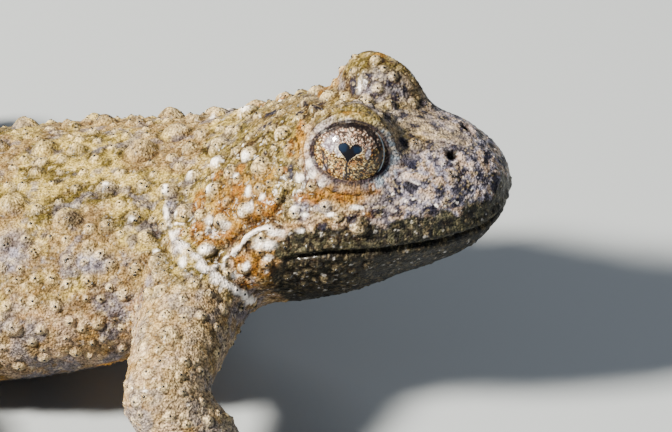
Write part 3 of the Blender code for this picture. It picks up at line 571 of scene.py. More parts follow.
def tube(mesh, points, radii, sides=16, per_span=6):
    """Adds a tapered tube with round ends through the points."""
    rows = smooth_rows([(*p, r) for p, r in zip(points, radii)], per_span)
    first, last = Vector(rows[0][:3]), Vector(rows[-1][:3])
    start = (first - Vector(rows[1][:3])).normalized()
    end = (last - Vector(rows[-2][:3])).normalized()
    cap = ((0.5, 0.86), (0.86, 0.5))
    head_rows = [(*(first + start * rows[0][3] * a), rows[0][3] * r) for a, r in reversed(cap)]
    tail_rows = [(*(last + end * rows[-1][3] * a), rows[-1][3] * r) for a, r in cap]
    rows = head_rows + rows + tail_rows
    rings = []
    for i, row in enumerate(rows):
        before, after = Vector(rows[max(i - 1, 0)][:3]), Vector(rows[min(i + 1, len(rows) - 1)][:3])
        way = (after - before).normalized()
        level = Vector((0, 0, 1)).cross(way)
        level = level.normalized() if level.length > 0.1 else Vector((1, 0, 0)).cross(way).normalized()
        upward = way.cross(level)

        def place_at(angle):
            return Vector(row[:3]) + (level * math.cos(angle) + upward * math.sin(angle)) * row[3]

        rings.append(ring(mesh, sides, place_at))
    bridge(mesh, rings)


def ellipsoid(mesh, centre, size, turn=None, fineness=3):
    turn = turn or Matrix.Identity(3)
    matrix = Matrix.Translation(centre) @ turn.to_4x4() @ Matrix.Diagonal((*size, 1))
    bmesh.ops.create_icosphere(mesh, subdivisions=fineness, radius=1.0, matrix=matrix)


def fused(mesh, voxel, smoothing):
    """One smooth closed mesh from overlapping closed pieces."""
    body = add_object("form", to_data(mesh, "form"))
    remesh = body.modifiers.new("fuse", "REMESH")
    remesh.mode = "VOXEL"
    remesh.voxel_size = voxel
    smooth = body.modifiers.new("soften", "SMOOTH")
    smooth.factor = 0.5
    smooth.iterations = smoothing
    found = evaluated_mesh(body)
    bpy.data.objects.remove(body)
    return found


def body_mesh():
    """Head, trunk and limbs, without hands and feet."""
    mesh = bmesh.new()
    loft(mesh, HEAD_SECTIONS, HEAD_ROUND, head_place)
    loft(mesh, TRUNK_SECTIONS, TRUNK_ROUND, Vector)
    for sign in (1, -1):
        ellipsoid(mesh, head_place(EYE_CENTRE, sign), (LID_RADIUS,) * 3)
        turn = Matrix.Rotation(HEAD_TURN + sign * JAW_CORNER["turn"], 3, "Z")
        ellipsoid(mesh, head_place(JAW_CORNER["place"], sign), JAW_CORNER["size"], turn)
    for limbs, all_radii in ((ARMS, ARM_RADII), (LEGS, LEG_RADII)):
        for joints in limbs.values():
            for k, radii in enumerate(all_radii):
                middle = joints[k].lerp(joints[k + 1], 0.5)
                tube(mesh, (joints[k], middle, joints[k + 1]), radii)
    return fused(mesh, BODY_VOXEL, BODY_SMOOTHING)


def level_way(angle):
    return Vector((math.cos(angle), math.sin(angle), 0))


def digit_path(root, heading, angle, length, drop):
    """Points of a finger or toe that runs out from its root and comes down to the floor."""
    way = level_way(heading + angle)
    return [
        root + way * length * share + Vector((0, 0, (TOE_LEVEL - root.z) * fall))
        for share, fall in ((0.0, 0.0), (0.45, drop), (1.0, 1.0))
    ]


def add_hand(mesh, side):
    wrist = ARMS[side][2]
    mirror = -1 if side == "right" else 1
    heading = HAND_HEADING[side]
    way = level_way(heading)
    palm_centre = wrist + way * PALM["ahead"]
    palm_centre.z = PALM["level"]
    ellipsoid(mesh, palm_centre, PALM["size"], Matrix.Rotation(heading, 3, "Z"), fineness=2)
    tube(mesh, (wrist.lerp(ARMS[side][1], 0.12), palm_centre), PALM["wrist_radii"], 12, 3)
    for angle, length in FINGERS:
        spread = math.radians(angle) * mirror
        across = math.sin(spread) * PALM["size"][1] * KNUCKLES["spread"]
        root = palm_centre + way * KNUCKLES["ahead"] + Vector((-way.y, way.x, 0)) * across
        tube(mesh, digit_path(root, heading, spread, length, FINGER_DROP), FINGER_RADII, 10, 3)


def web_outline(root, heading, mirror):
    """The outline of the foot's web: out along each toe, with a scallop between each two."""

    def reach(angle, length):
        return root + level_way(heading + math.radians(angle) * mirror) * length

    outline = [root]
    for k, (angle, length) in enumerate(TOES):
        outline.append(reach(angle, length * WEB_REACH))
        if k + 1 < len(TOES):
            other_angle, other_length = TOES[k + 1]
            middle = (length + other_length) / 2 * WEB_SCALLOP
            outline.append(reach((angle + other_angle) / 2, middle))
    return outline


def add_foot(mesh, side):
    ankle, base = LEGS[side][2], LEGS[side][3]
    mirror = 1 if side == "right" else -1
    root = Vector((base.x, base.y, SOLE["level"]))
    heading = FOOT_HEADING[side]
    outline = web_outline(Vector((root.x, root.y, 0)), heading, mirror)
    rings = [[mesh.verts.new(p + Vector((0, 0, z))) for p in outline] for z in (0, WEB_THICKNESS)]
    bridge(mesh, rings)
    ellipsoid(mesh, root, SOLE["size"], Matrix.Rotation(heading, 3, "Z"), fineness=2)
    tube(mesh, (base.lerp(ankle, 0.2), root), SOLE["ankle_radii"], 12, 3)
    for angle, length in TOES:
        spread = math.radians(angle) * mirror
        tube(mesh, digit_path(root, heading, spread, length, TOE_DROP), TOE_RADII, 10, 3)


def skin_mesh():
    """The whole skin, before its fine relief: the body with hands and feet, at twice the final spacing."""
    mesh = bmesh.new()
    mesh.from_mesh(body_mesh())
    for side in ARMS:
        add_hand(mesh, side)
        add_foot(mesh, side)
    coarse = fused(mesh, SKIN_VOXEL, SKIN_SMOOTHING)
    holder = add_object("finer", coarse)
    finer = holder.modifiers.new("finer", "SUBSURF")
    finer.levels = 1
    finer.render_levels = 1
    found = evaluated_mesh(holder)
    bpy.data.objects.remove(holder)
    return found


# Numbers over many points at once


def mesh_points(data):
    points = np.empty(len(data.vertices) * 3)
    data.vertices.foreach_get("co", points)
    return points.reshape(-1, 3)


def mesh_normals(data):
    normals = np.empty(len(data.vertices) * 3)
    data.vertex_normals.foreach_get("vector", normals)
    return normals.reshape(-1, 3)


def smoothstep(low, high, value):
    t = np.clip((value - low) / (high - low), 0, 1)
    return t * t * (3 - 2 * t)


def bell(value, width):
    return np.exp(-((value / width) ** 2))


def corner_value(corners, seed):
    """A fixed random number from 0 to 1 for each whole-number corner."""
    mixed = (
        corners[:, 0] * np.uint64(73856093)
        ^ corners[:, 1] * np.uint64(19349663)
        ^ corners[:, 2] * np.uint64(83492791)
        ^ np.uint64(seed * 2654435761 % 2**32)
    )
    mixed = (mixed ^ (mixed >> np.uint64(13))) * np.uint64(1274126177)
    mixed = mixed ^ (mixed >> np.uint64(16))
    return (mixed & np.uint64(0xFFFFFF)).astype(float) / 0xFFFFFF


def noise(points, size, seed=0):
    """Smooth random numbers from 0 to 1, with features of about the given size."""
    scaled = points / size + 1000.0
    base = np.floor(scaled)
    share = scaled - base
    share = share * share * (3 - 2 * share)
    corners = base.astype(np.uint64)
    total = np.zeros(len(points))
    for step in product((0, 1), repeat=3):
        along, across, up = (np.abs(1 - step[k] - share[:, k]) for k in range(3))
        total += along * across * up * corner_value(corners + np.array(step, dtype=np.uint64), seed)
    return total


def layered(points, size, seed=0, layers=3):
    """Noise with finer and fainter layers, from 0 to 1."""
    total, weight, sum_of = np.zeros(len(points)), 1.0, 0.0
    for k in range(layers):
        total += weight * noise(points, size / 2**k, seed + k * 17)
        sum_of += weight
        weight *= 0.55
    return total / sum_of


def spots(points, size, seed, low, high, layers=3):
    """Spots from 0 to 1: where layered noise goes from low to high."""
    return smoothstep(low, high, layered(points, size, seed, layers))


def cell_distances(points, size, seed=0):
    """Distances to the nearest and second nearest of scattered points, in cell sizes."""
    scaled = points / size + 1000.0
    base = np.floor(scaled).astype(np.int64)
    near = np.full(len(points), 9.0)
    second = np.full(len(points), 9.0)
    for step in product((-1, 0, 1), repeat=3):
        cell = base + np.array(step)
        key = cell.astype(np.uint64)
        offset = np.stack([corner_value(key, seed + k) for k in (1, 2, 3)], axis=1)
        distance = np.linalg.norm(cell + offset - scaled, axis=1)
        second = np.minimum(second, np.maximum(near, distance))
        near = np.minimum(near, distance)
    return near, second


def plain(colour, points):
    return np.tile(np.array(colour), (len(points), 1))


def mix(paint, *steps):
    """Paint moved towards each colour in turn, by a share for each point."""
    for colour, share in steps:
        share = np.clip(share, 0, 1)[:, None]
        paint = paint * (1 - share) + np.array(colour) * share
    return paint


def end_fade(points, line, length):
    """From 0 at the two ends of a line to 1 away from them."""
    first, last = (np.linalg.norm(points - np.array(end), axis=1) for end in (line[0], line[-1]))
    return smoothstep(0, 2.2 * length, first) * smoothstep(0, 2.2 * length, last)


def distance_to_line(points, line):
    """Distance from each point to a line through places."""
    found = np.full(len(points), 1e9)
    for start, end in zip(line, line[1:]):
        start, end = np.array(start), np.array(end)
        way = end - start
        share = np.clip((points - start) @ way / max(way @ way, 1e-9), 0, 1)
        found = np.minimum(found, np.linalg.norm(points - start - share[:, None] * way, axis=1))
    return found


def near_points(tree, place, reach):
    """The numbers of the points within reach of a place, and their distances."""
    near = tree.find_range(place, reach)
    return np.array([n[1] for n in near], dtype=int), np.array([n[2] for n in near])


def limb_share(points):
    return smoothstep(*LIMB_SIDEWAYS, np.abs(points[:, 1]))


# Features of the head


def eye_frame(sign):
    """Centre of the eyeball, the gaze, and the two directions across it: ahead and up."""
    gaze = head_direction(GAZE, sign).normalized()
    centre = head_place(EYE_CENTRE, sign) - gaze * BALL_SET_BACK
    ahead = head_direction((1, 0, 0), sign)
    ahead = (ahead - gaze * ahead.dot(gaze)).normalized()
    up = gaze.cross(ahead) * (-sign)
    if up.z < 0:
        up = -up
    return centre, gaze, ahead, up


def opening_angle(ahead, up):
    """How far from the gaze the lids' edge lies, in each direction round it."""
    length = np.hypot(ahead, up) + 1e-9
    along, raised = ahead / length, up / length
    wide = np.where(along > 0, OPENING["ahead"], OPENING["behind"])
    high = np.where(raised > 0, OPENING["above"], OPENING["below"])
    power = np.where((along < 0) & (raised > 0), OPENING["slant"], OPENING["round"])
    radius = ((np.abs(along) / wide) ** power + (np.abs(raised) / high) ** power) ** (-1 / power)
    return np.arcsin(np.clip(radius / BALL_RADIUS, 0, 0.97))


def around_eye(points, sign):
    """From the eyeball's centre: distances, directions, and how far past the lids' edge along the skin."""
    centre, gaze, ahead, up = (np.array(v) for v in eye_frame(sign))
    out = points - centre
    distance = np.linalg.norm(out, axis=1)
    way = out / distance[:, None]
    angle = np.arccos(np.clip(way @ gaze, -1, 1))
    beyond = (angle - opening_angle(way @ ahead, way @ up)) * (BALL_RADIUS + LID_RIM)
    return distance, way, beyond


def eye_nearness(points):
    """Distance of each point beyond the nearest lid edge, in millimetres along the skin."""
    found = np.full(len(points), FAR)
    for sign in (1, -1):
        distance, _, beyond = around_eye(points, sign)
        found = np.minimum(found, np.where(distance < LID_REACH, beyond, FAR))
    return found


def shape_lids(points, masks):
    """Opens the lids round each eyeball: a rounded rim, with the skin inside it drawn under the ball."""
    for sign in (1, -1):
        centre, gaze, ahead, up = (np.array(v) for v in eye_frame(sign))
        near = np.flatnonzero(np.linalg.norm(points - centre, axis=1) < LID_REACH)
        distance, way, beyond = around_eye(points[near], sign)
        in_front = way @ gaze > LID_FRONT
        under = BALL_RADIUS - LID_TUCK
        rounding = np.sqrt(np.clip(1 - ((beyond - LID_RIM) / LID_RIM) ** 2, 0, 1))
        rim = BALL_RADIUS + LID_GAP + LID_RIM * rounding
        inner = under + (BALL_RADIUS + LID_GAP - under) * smoothstep(TUCK_START, 0.0, beyond)
        past_rim = np.clip(beyond - LID_RIM, 0, None)
        slope = BALL_RADIUS + LID_TOP + LID_SLOPE[0] * past_rim + LID_SLOPE[1] * past_rim**2
        outer = np.minimum(distance, slope)
        new = np.where(beyond < 0, inner, np.where(beyond < LID_RIM, rim, outer))
        changed = (beyond < LID_WIDTH) & in_front
        points[near[changed]] = centre + way[changed] * new[changed][:, None]
        on_lid = in_front * (distance < LID_PAINT_REACH)
        broken = layered(points[near], 0.4, 91)
        band_end = smoothstep(0.40, 0.18, beyond + 0.5 * (broken - 0.5))
        # The lids' edge and crease are marked for painted shadow and shade
        marks = {
            "lid_edge_shadow": bell(beyond - 0.03, 0.095),
            "lid_band": smoothstep(0.05, 0.12, beyond) * band_end,
            "lid_crease_shade": bell(beyond - 0.42, 0.05) * smoothstep(0.40, 0.52, broken),
        }
        for name, share in marks.items():
            masks[name][near] = np.maximum(masks[name][near], share * on_lid)
        masks["lid_ahead"][near] = way @ ahead
        masks["lid_up"][near] = way @ up
    return points


def mouth_distance(place):
    """Distance of head places from the line of the mouth, and whether each is above it."""
    flat = place[:, (0, 2)]
    distance = distance_to_line(flat, MOUTH_LINE)
    level = np.interp(flat[:, 0], *zip(*sorted(MOUTH_LINE)))
    return distance, flat[:, 1] > level


def mouth_relief(place):
    """How far the skin moves out along the lips and in along the line of the mouth."""
    distance, above = mouth_distance(place)
    relief = -MOUTH_DEPTH * bell(distance, MOUTH_HALF_WIDTH)
    for lip, on_lip in (("upper", above), ("lower", ~above)):
        off_line, half_width, rise = LIPS[lip]
        relief += rise * bell(distance - off_line, half_width) * on_lip
    return relief * smoothstep(*MOUTH_BACK, place[:, 0])


def nostril_relief(points, nostrils):
    """A pit with a low rim at each nostril, and a mask of its inside, painted dark as shade."""
    relief, inside_shade = np.zeros(len(points)), np.zeros(len(points))
    for sign, place in nostrils.items():
        long_way = np.array(head_direction(NOSTRIL_SHAPE["way"], sign).normalized())
        out = points - np.array(place)
        along = out @ long_way
        across = np.linalg.norm(out - along[:, None] * long_way, axis=1)
        distance = np.hypot(along / NOSTRIL_SHAPE["long"], across) / NOSTRIL_SHAPE["width"]
        pit = -NOSTRIL_SHAPE["depth"] * bell(distance, 0.21)
        relief += pit + NOSTRIL_SHAPE["rim"] * bell(distance - 0.46, 0.14)
        inside_shade = np.maximum(inside_shade, smoothstep(0.34, 0.22, distance))
    return relief, inside_shade


# The skin before its relief


class Skin:
    """The skin before its relief: its points, how far they are from eyes and mouth, and their marks."""

    def __init__(self, data):
        self.data = data
        self.points, self.normals = mesh_points(data), mesh_normals(data)
        self.head_points = in_head(self.points)
        self.from_eye = eye_nearness(self.points)
        on_head = self.head_points[:, 0] > MOUTH_END
        self.from_mouth = np.where(on_head, mouth_distance(self.head_points)[0], FAR)
        self.masks = {name: np.zeros(len(self.points)) for name in MASKS}
        self.surface = BVHTree.FromPolygons(self.points.tolist(), [tuple(p.vertices) for p in data.polygons])
        self.tree = KDTree(len(self.points))
        for k, point in enumerate(self.points):
            self.tree.insert(point, k)
        self.tree.balance()

    def see(self, way):
        """The place that the camera sees in a direction."""
        return self.surface.ray_cast(camera_place(), way)[0]


def fold_relief(skin):
    """How far the skin moves along the ridges and grooves, which are marked too, the grooves for painted
    shade.
    """
    points, masks = skin.points, skin.masks
    relief = np.zeros(len(points))
    for line, half_width, rise in FOLDS:
        seen = [p for p in (skin.see(sight_of_pixel(pixel)) for pixel in line) if p is not None]
        name = "groove_shade" if rise < 0 else "fold"
        for path in (seen, [across_head(p) for p in seen]):
            share = bell(distance_to_line(points, path), half_width) * end_fade(points, path, half_width)
            relief += rise * share
            masks[name] = np.maximum(masks[name], share * smoothstep(0.1, 0.25, abs(rise)))
    return relief


# Warts


def wart_anchors(see):
    """(place, radius) for each large wart, spread over the back, head and limbs."""
    draw = random.Random(WART_SEED)
    found = []

    def try_wart(place, radius):
        if all((place - p).length > WART_SPACING * (radius + r) for p, r in found):
            found.append((place, radius))

    for across, up, radius in CHIEF_WARTS:
        found.append((see(sight_of_offset(across, up)), radius))
    for kind, sections, rounding, to_world in (
        (TRUNK_WARTS, TRUNK_SECTIONS, TRUNK_ROUND, Vector),
        (HEAD_WARTS, HEAD_SECTIONS, HEAD_ROUND, head_place),
    ):
        body_rows = smooth_rows(sections, SECTION_STEPS)
        first, last = kind["free_rows"]
        kept = len(found) + kind["count"]
        for _ in range(kind["count"] * kind["tries"]):
            row = body_rows[draw.randrange(first, len(body_rows) - last)]
            angle = math.radians(draw.uniform(kind["free_degrees"], 180 - kind["free_degrees"]))
            radius = draw.uniform(*kind["radius"])
            if len(found) < kept:
                try_wart(to_world(section_point(row, angle, rounding)), radius)
    spans = [ARMS[s][:2] for s in ARMS], [LEGS[s][:2] for s in LEGS], [LEGS[s][1:3] for s in LEGS]
    for pairs, half_width in zip(spans, LIMB_HALF_WIDTHS):
        for start, end in pairs:
            for _ in range(LIMB_WARTS["count"]):
                lean = math.radians(draw.uniform(-LIMB_WARTS["lean"], LIMB_WARTS["lean"]))
                across = (end - start).cross(Vector((0, 0, 1))).normalized()
                out = Vector((0, 0, 1)) * math.cos(lean) + across * math.sin(lean)
                place = start.lerp(end, draw.uniform(*LIMB_WARTS["along"])) + out * half_width
                try_wart(place, draw.uniform(*LIMB_WARTS["radius"]))
    return found


def scatter(skin, blocked, kind, taken):
    """(place, radius) for warts scattered over the free points, clear of each other and of those taken."""
    draw = np.random.default_rng(kind["seed"])

    def block_round(place, reach):
        blocked[near_points(skin.tree, place, reach)[0]] = True

    for place, radius in taken:
        block_round(place, kind["spacing"] * (radius + kind["radius"][0]))
    found = []
    for vertex in draw.permutation(len(skin.points)):
        if not blocked[vertex] and len(found) < kind["count"]:
            radius = draw.uniform(*kind["radius"])
            block_round(skin.points[vertex], kind["spacing"] * 2 * radius)
            found.append((Vector(skin.points[vertex]), radius))
    return found


def large_warts(skin):
    """(place, radius) for the large warts, clear of the eyes, the mouth and the underside."""
    from_eye, from_mouth = WART_CLEARANCE
    found = []
    for anchor, radius in wart_anchors(skin.see):
        place = skin.surface.find_nearest(anchor)[0]
        nearest = skin.tree.find(place)[1]
        off_eye = skin.from_eye[nearest] > radius + from_eye
        off_mouth = skin.from_mouth[nearest] > radius + from_mouth
        if off_eye and off_mouth and skin.normals[nearest][2] > LOWEST_NORMAL:
            found.append((place, radius))
    return found


def free_points(skin, kind):
    """Where a scattered wart of this kind may stand."""
    free = (skin.from_eye > kind["from_eye"]) & (skin.from_mouth > kind["from_mouth"])
    return free & (skin.masks["nostril"] < kind["nostril"]) & (skin.points[:, 2] > kind["lowest"])


def place_warts(skin):
    """(place, radius) for each wart of each kind, the finest kind first."""
    large = large_warts(skin)
    upper = skin.normals[:, 2] > LOWEST_NORMAL
    behind_snout = skin.head_points[:, 0] < SNOUT_START
    free = free_points(skin, SMALL_WARTS) & upper & behind_snout
    small = scatter(skin, ~free, SMALL_WARTS, large)
    fine = scatter(skin, ~free_points(skin, GRANULES), GRANULES, large + small)
    return {"granule": fine, "small_wart": small, "wart": large}


def raise_warts(tree, ragged, warts, rise, relief, mask, moat_shade):
    """Raises a dome at each (place, radius), and marks how near its middle each point lies and the ring
    round its foot, which is painted as shade.
    """
    for place, radius in warts:
        index, distance = near_points(tree, place, radius * 1.6)
        share = distance / radius * ragged[index]
        dome = rise * radius * np.clip(1 - share**2, 0, 1) ** 1.15
        ring = bell(share - 1.14, 0.14)
        relief[index] = np.maximum(relief[index], dome) - 0.2 * rise * radius * ring
        mask[index] = np.maximum(mask[index], 1 - smoothstep(0.6, 1.0, share))
        moat_shade[index] = np.maximum(moat_shade[index], ring)


def wart_relief(skin, warts):
    """How far the warts and the unevenness between them raise the skin."""
    points, masks = skin.points, skin.masks
    snout = smoothstep(*SMOOTH_SNOUT, skin.head_points[:, 0])
    ragged = 0.84 + 0.32 * layered(points, 0.5, 59)
    relief = np.zeros(len(points))
    for name, places in warts.items():
        moat_shade = masks["fine_moat_shade" if name == "granule" else "moat_shade"]
        raise_warts(skin.tree, ragged, places, WART_RISE[name], relief, masks[name], moat_shade)
    relief += masks["wart"] * (noise(points, 0.28, 61) - 0.5) * 0.16
    rough = (layered(points, 0.5, 19) - 0.5) * (0.16 + 0.14 * snout) * smoothstep(0.2, 0.8, skin.from_eye)
    relief += rough * smoothstep(0.8, 2.0, points[:, 2])
    calm = smoothstep(0.05, 0.5, skin.from_eye) * (1 - 0.4 * snout) * (1 - 0.4 * limb_share(points))
    calm *= 1 - 0.8 * masks["fold"]
    return relief * calm


# Colour of the skin


def patch_share(skin, rows, core):
    """How much of each point lies in patches, mirrored to the left side. Core is their full part."""
    share = np.zeros(len(skin.points))
    ragged = 0.7 + 0.6 * layered(skin.points, 0.4, 41)
    right = np.array(camera_axes()[0])
    for across, down, half_width, half_height in rows:
        place = skin.see(sight_of_pixel((across, down)))
        if place is None:
            continue
        wide, high = half_width / PIXELS_PER_MM, half_height / PIXELS_PER_MM
        for centre in (place, across_head(place)):
            index, _ = near_points(skin.tree, centre, max(wide, high) * 1.8)
            out = skin.points[index] - np.array(centre)
            along = out @ right
            length = np.sqrt(np.maximum((out**2).sum(axis=1) - along**2, 0))
            distance = np.hypot(along / wide, length / high) * ragged[index]
            share[index] = np.maximum(share[index], 1 - smoothstep(core, 1.2, distance))
    return share


def mark_patches(skin):
    """Marks the patches of colour, and a broken pale line along each ridge as a painted highlight."""
    masks = skin.masks
    for name, (core, rows) in PATCHES.items():
        masks[name] = patch_share(skin, rows, core)
    broken = masks["fold"] + 1.3 * (layered(skin.points, 0.4, 33) - 0.5)
    fold_highlight = smoothstep(0.25, 0.8, broken) * smoothstep(0.1, 0.4, masks["fold"])
    masks["pale_and_highlight"] = np.maximum(masks["pale_and_highlight"], fold_highlight)


def jaw_shade_share(points, place, head):
    """The jaw's dark part, painted shade, which runs past the mouth with a broken edge, and what is above
    the mouth.
    """
    distance, above = mouth_distance(place)
    jaw_shade = np.where(above, smoothstep(*JAW_ABOVE, distance), 1.0) * head * smoothstep(*JAW_AHEAD, place[:, 0])
    jaw_shade = jaw_shade * (place[:, 2] < JAW_TOP)
    return smoothstep(0.44, 0.54, jaw_shade * 0.45 + 0.55 * layered(points, 0.8, 31)) * (jaw_shade > 0.02), above


def ground_paint(points, normals, masks, head, middle, small):
    """The skin's colours before those of the head and the warts."""
    limb = limb_share(points)
    leg = limb * smoothstep(*LEG_BEHIND, points[:, 0])
    back = smoothstep(0.40, 0.72, normals[:, 2] + 0.5 * (middle - 0.5)) * (1 - 0.8 * limb + 0.5 * leg)
    back_paint = mix(
        plain(OLIVE, points),
        (YELLOWISH, smoothstep(0.38, 0.58, middle)),
        (TAN, spots(points, 2.6, 3, 0.47, 0.60) * 0.7),
        (LAVENDER, spots(points, 0.9, 27, 0.56, 0.66) * 0.6),
        (OLIVE, 0.62 * head),
    )
    return mix(
        plain(TAN, points),
        (PINKISH, smoothstep(0.42, 0.58, middle)),
        (LAVENDER, spots(points, 1.5, 23, 0.49, 0.60) * 0.85),
        (OCHRE, spots(points, 0.8, 25, 0.53, 0.63) * 0.6),
        (back_paint, back),
        (CREAM, 0.12 * (limb - leg)),
        (OLIVE, leg * spots(points, 1.8, 75, 0.52, 0.60) * 0.75),
        (GOLD, masks["golden"] * (0.65 + 0.3 * smoothstep(0.4, 0.6, small))),
        (LILAC, masks["greyish"] * (0.45 + 0.45 * smoothstep(0.4, 0.6, middle))),
        (BROWN_AND_SHADE, smoothstep(0.55, 0.66, small) * (0.5 + 0.35 * head) * (1 - 0.5 * limb)),
        (CREAM, smoothstep(0.38, 0.28, small) * 0.35 * (1 - 0.6 * head)),
    )


# The lid band's colours round the eye, with a painted wet reflection ahead
def lid_paint_and_reflection(points, masks):
    return mix(
        plain(LID_COLOURS_AND_REFLECTION["below"], points),
        (LID_COLOURS_AND_REFLECTION["above"], smoothstep(0.1, 0.45, masks["lid_up"])),
        (LID_COLOURS_AND_REFLECTION["behind"], smoothstep(0.25, 0.55, -masks["lid_ahead"])),
        (LID_COLOURS_AND_REFLECTION["ahead"], smoothstep(0.35, 0.6, masks["lid_ahead"])),
    )


def skin_paint(skin):
    """The skin's colour at each point, with painted shade and painted highlights, and how wet and how grainy
    it is.
    """
    points, normals, masks, place = skin.points, skin.normals, skin.masks, skin.head_points
    ahead, level = place[:, 0], place[:, 2]
    middle = layered(points, 1.0, 7)
    small = layered(points, 0.42, 13)
    tiny = layered(points, 0.2, 51, 2)
    blotches = layered(points, 0.5, 29)
    spotted = spots(points, 0.3, 67, 0.50, 0.60, 2)
    head = smoothstep(*HEAD_AHEAD, ahead) * smoothstep(*HEAD_SIDEWAYS, np.abs(place[:, 1]))
    near_head = smoothstep(*NEAR_HEAD, points[:, 0])
    snout = smoothstep(*SNOUT_AHEAD, ahead) * head
    side = smoothstep(*SNOUT_SIDE, level + 1.2 * (middle - 0.5))
    paint = mix(
        ground_paint(points, normals, masks, head, middle, small),
        (PINKISH, snout * 0.5),
        (YELLOWISH, snout * (1 - side) * 0.35),
        (LILAC, snout * spots(points, 0.9, 73, 0.47, 0.57) * (0.2 + 0.5 * side)),
        (LILAC, snout * side * 0.85),
        (PINKISH, snout * side * smoothstep(0.46, 0.38, blotches) * 0.8),
        (PALE_PINK, masks["granule"] * snout * side * 0.5),
        (SLATE_AND_SHADE, snout * (0.6 + 0.3 * side) * smoothstep(0.53, 0.59, blotches)),
    )
    # The jaw side: painted shade, with olive and pale specks
    jaw_shade, above = jaw_shade_share(points, place, head)
    jaw_shade_paint = mix(
        plain(JAW_SHADE, points),
        (JAW_OLIVE, smoothstep(0.47, 0.58, tiny) * (0.4 + 0.6 * above)),
        (JAW_PALE, spots(points, 0.5, 35, 0.58, 0.66) * (0.1 + 0.5 * above)),
    )
    rust = masks["rust"] * (1 - jaw_shade * 0.7)
    bare = 1 - np.maximum(0.75 * snout, 0.85 * jaw_shade)
    not_golden = 1 - 0.4 * masks["golden"]
    # Pale patches and ridge lines: white skin and painted highlights
    pale_and_highlight = masks["pale_and_highlight"] * (1 - 0.55 * spotted * (masks["fold"] < 0.3))
    not_pale_or_highlight = 1 - masks["pale_and_highlight"]
    white_and_highlight = mix(plain(WHITE_AND_HIGHLIGHT, points), (PALE_PINK, np.maximum(snout, masks["fold"] * tiny * 0.8)))
    belly = smoothstep(-0.55, -0.8, normals[:, 2] + 0.22 * head) * (points[:, 2] < BELLY_TOP)
    belly_paint = mix(plain(BELLY_YELLOW, points), (BELLY_DARK, spots(points, 3.0, 37, 0.47, 0.53)))
    paint = mix(
        paint,
        (jaw_shade_paint, jaw_shade * 0.97),
        (RUSTY, rust * 0.96),
        (OCHRE, rust * smoothstep(0.50, 0.60, tiny) * 0.6),
        (CREAM, masks["wart"] * (0.25 + 0.35 * near_head) * bare),
        (BROWN_AND_SHADE, masks["wart"] * spotted * 0.5),
        (CREAM, masks["small_wart"] * (0.5 - 0.25 * spotted) * bare * not_golden),
        (CREAM, masks["granule"] * 0.15 * bare),
        # Dusky patches: dark markings and painted shade
        (SLATE_AND_SHADE, masks["dusky_and_shade"] * (0.55 + 0.37 * head)),
        # White skin and painted highlights
        (white_and_highlight, pale_and_highlight * (0.97 - 0.55 * snout)),
        # Painted shade in the rings round the warts' feet and along the grooves
        (BROWN_AND_SHADE, masks["moat_shade"] * (0.45 + 0.25 * near_head) * not_pale_or_highlight),
        (BROWN_AND_SHADE, masks["fine_moat_shade"] * 0.2 * not_pale_or_highlight * bare),
        (BROWN_AND_SHADE, masks["groove_shade"] * 0.85),
        (belly_paint, belly),
    )
    speck = spots(points, 0.15, 43, 0.54, 0.68, 2) * not_pale_or_highlight
    light_speck = spots(points, 0.14, 47, 0.62, 0.74, 2) * (1 - 0.8 * masks["golden"])
    glints = spots(points, 0.22, 53, 0.75, 0.80, 2) * (1 - masks["golden"])
    paint = mix(
        paint * (1 - (0.35 + 0.35 * near_head) * speck)[:, None],
        (CREAM, light_speck * (0.15 + 0.15 * near_head) * (1 - 0.6 * jaw_shade)),
        (WHITE_AND_HIGHLIGHT, glints * (0.15 + 0.5 * head) * (1 - 0.5 * jaw_shade) * smoothstep(*HEAD_LOW, level)),
        # The lid band, with a painted wet reflection ahead of the eye
        (lid_paint_and_reflection(points, masks), masks["lid_band"] * (0.85 - 0.6 * smoothstep(0.48, 0.6, tiny))),
        # Painted shade in the lid crease and painted shadow along the lids' edge
        (BROWN_AND_SHADE, masks["lid_crease_shade"] * 0.8),
        (LID_EDGE_SHADOW, masks["lid_edge_shadow"]),
        # Painted shade inside the nostrils
        (NOSTRIL_SHADE, masks["nostril"]),
    )
    # Everything but the pale patches and painted highlights is darkened a little
    paint = paint * (0.88 + 0.12 * masks["pale_and_highlight"])[:, None]
    dry = np.maximum(masks["dusky_and_shade"], 0.6 * masks["golden"])
    wet = 0.05 + 0.13 * smoothstep(*WET_AHEAD, ahead) * (1 - dry) + 0.2 * masks["pale_and_highlight"]
    return paint, wet, 1 - 0.75 * masks["pale_and_highlight"]


# Shaders


def feed(material, node, inputs):
    """Gives a node's inputs their values, or links them where they are other nodes' outputs."""
    for name, value in inputs.items():
        if isinstance(value, bpy.types.NodeSocket):
            material.node_tree.links.new(value, node.inputs[name])
        else:
            node.inputs[name].default_value = value


def feed_shader(material, inputs):
    feed(material, material.node_tree.nodes["Principled BSDF"], inputs)


def new_material(name, inputs):
    material = bpy.data.materials.new(name)
    material.use_nodes = True
    feed_shader(material, inputs)
    return material


def add_node(material, kind, inputs, operation=None):
    node = material.node_tree.nodes.new(kind)
    if operation:
        node.operation = operation
    feed(material, node, inputs)
    return node.outputs


def attribute(material, name, output="Fac"):
    node = material.node_tree.nodes.new("ShaderNodeAttribute")
    node.attribute_name = name
    return node.outputs[output]


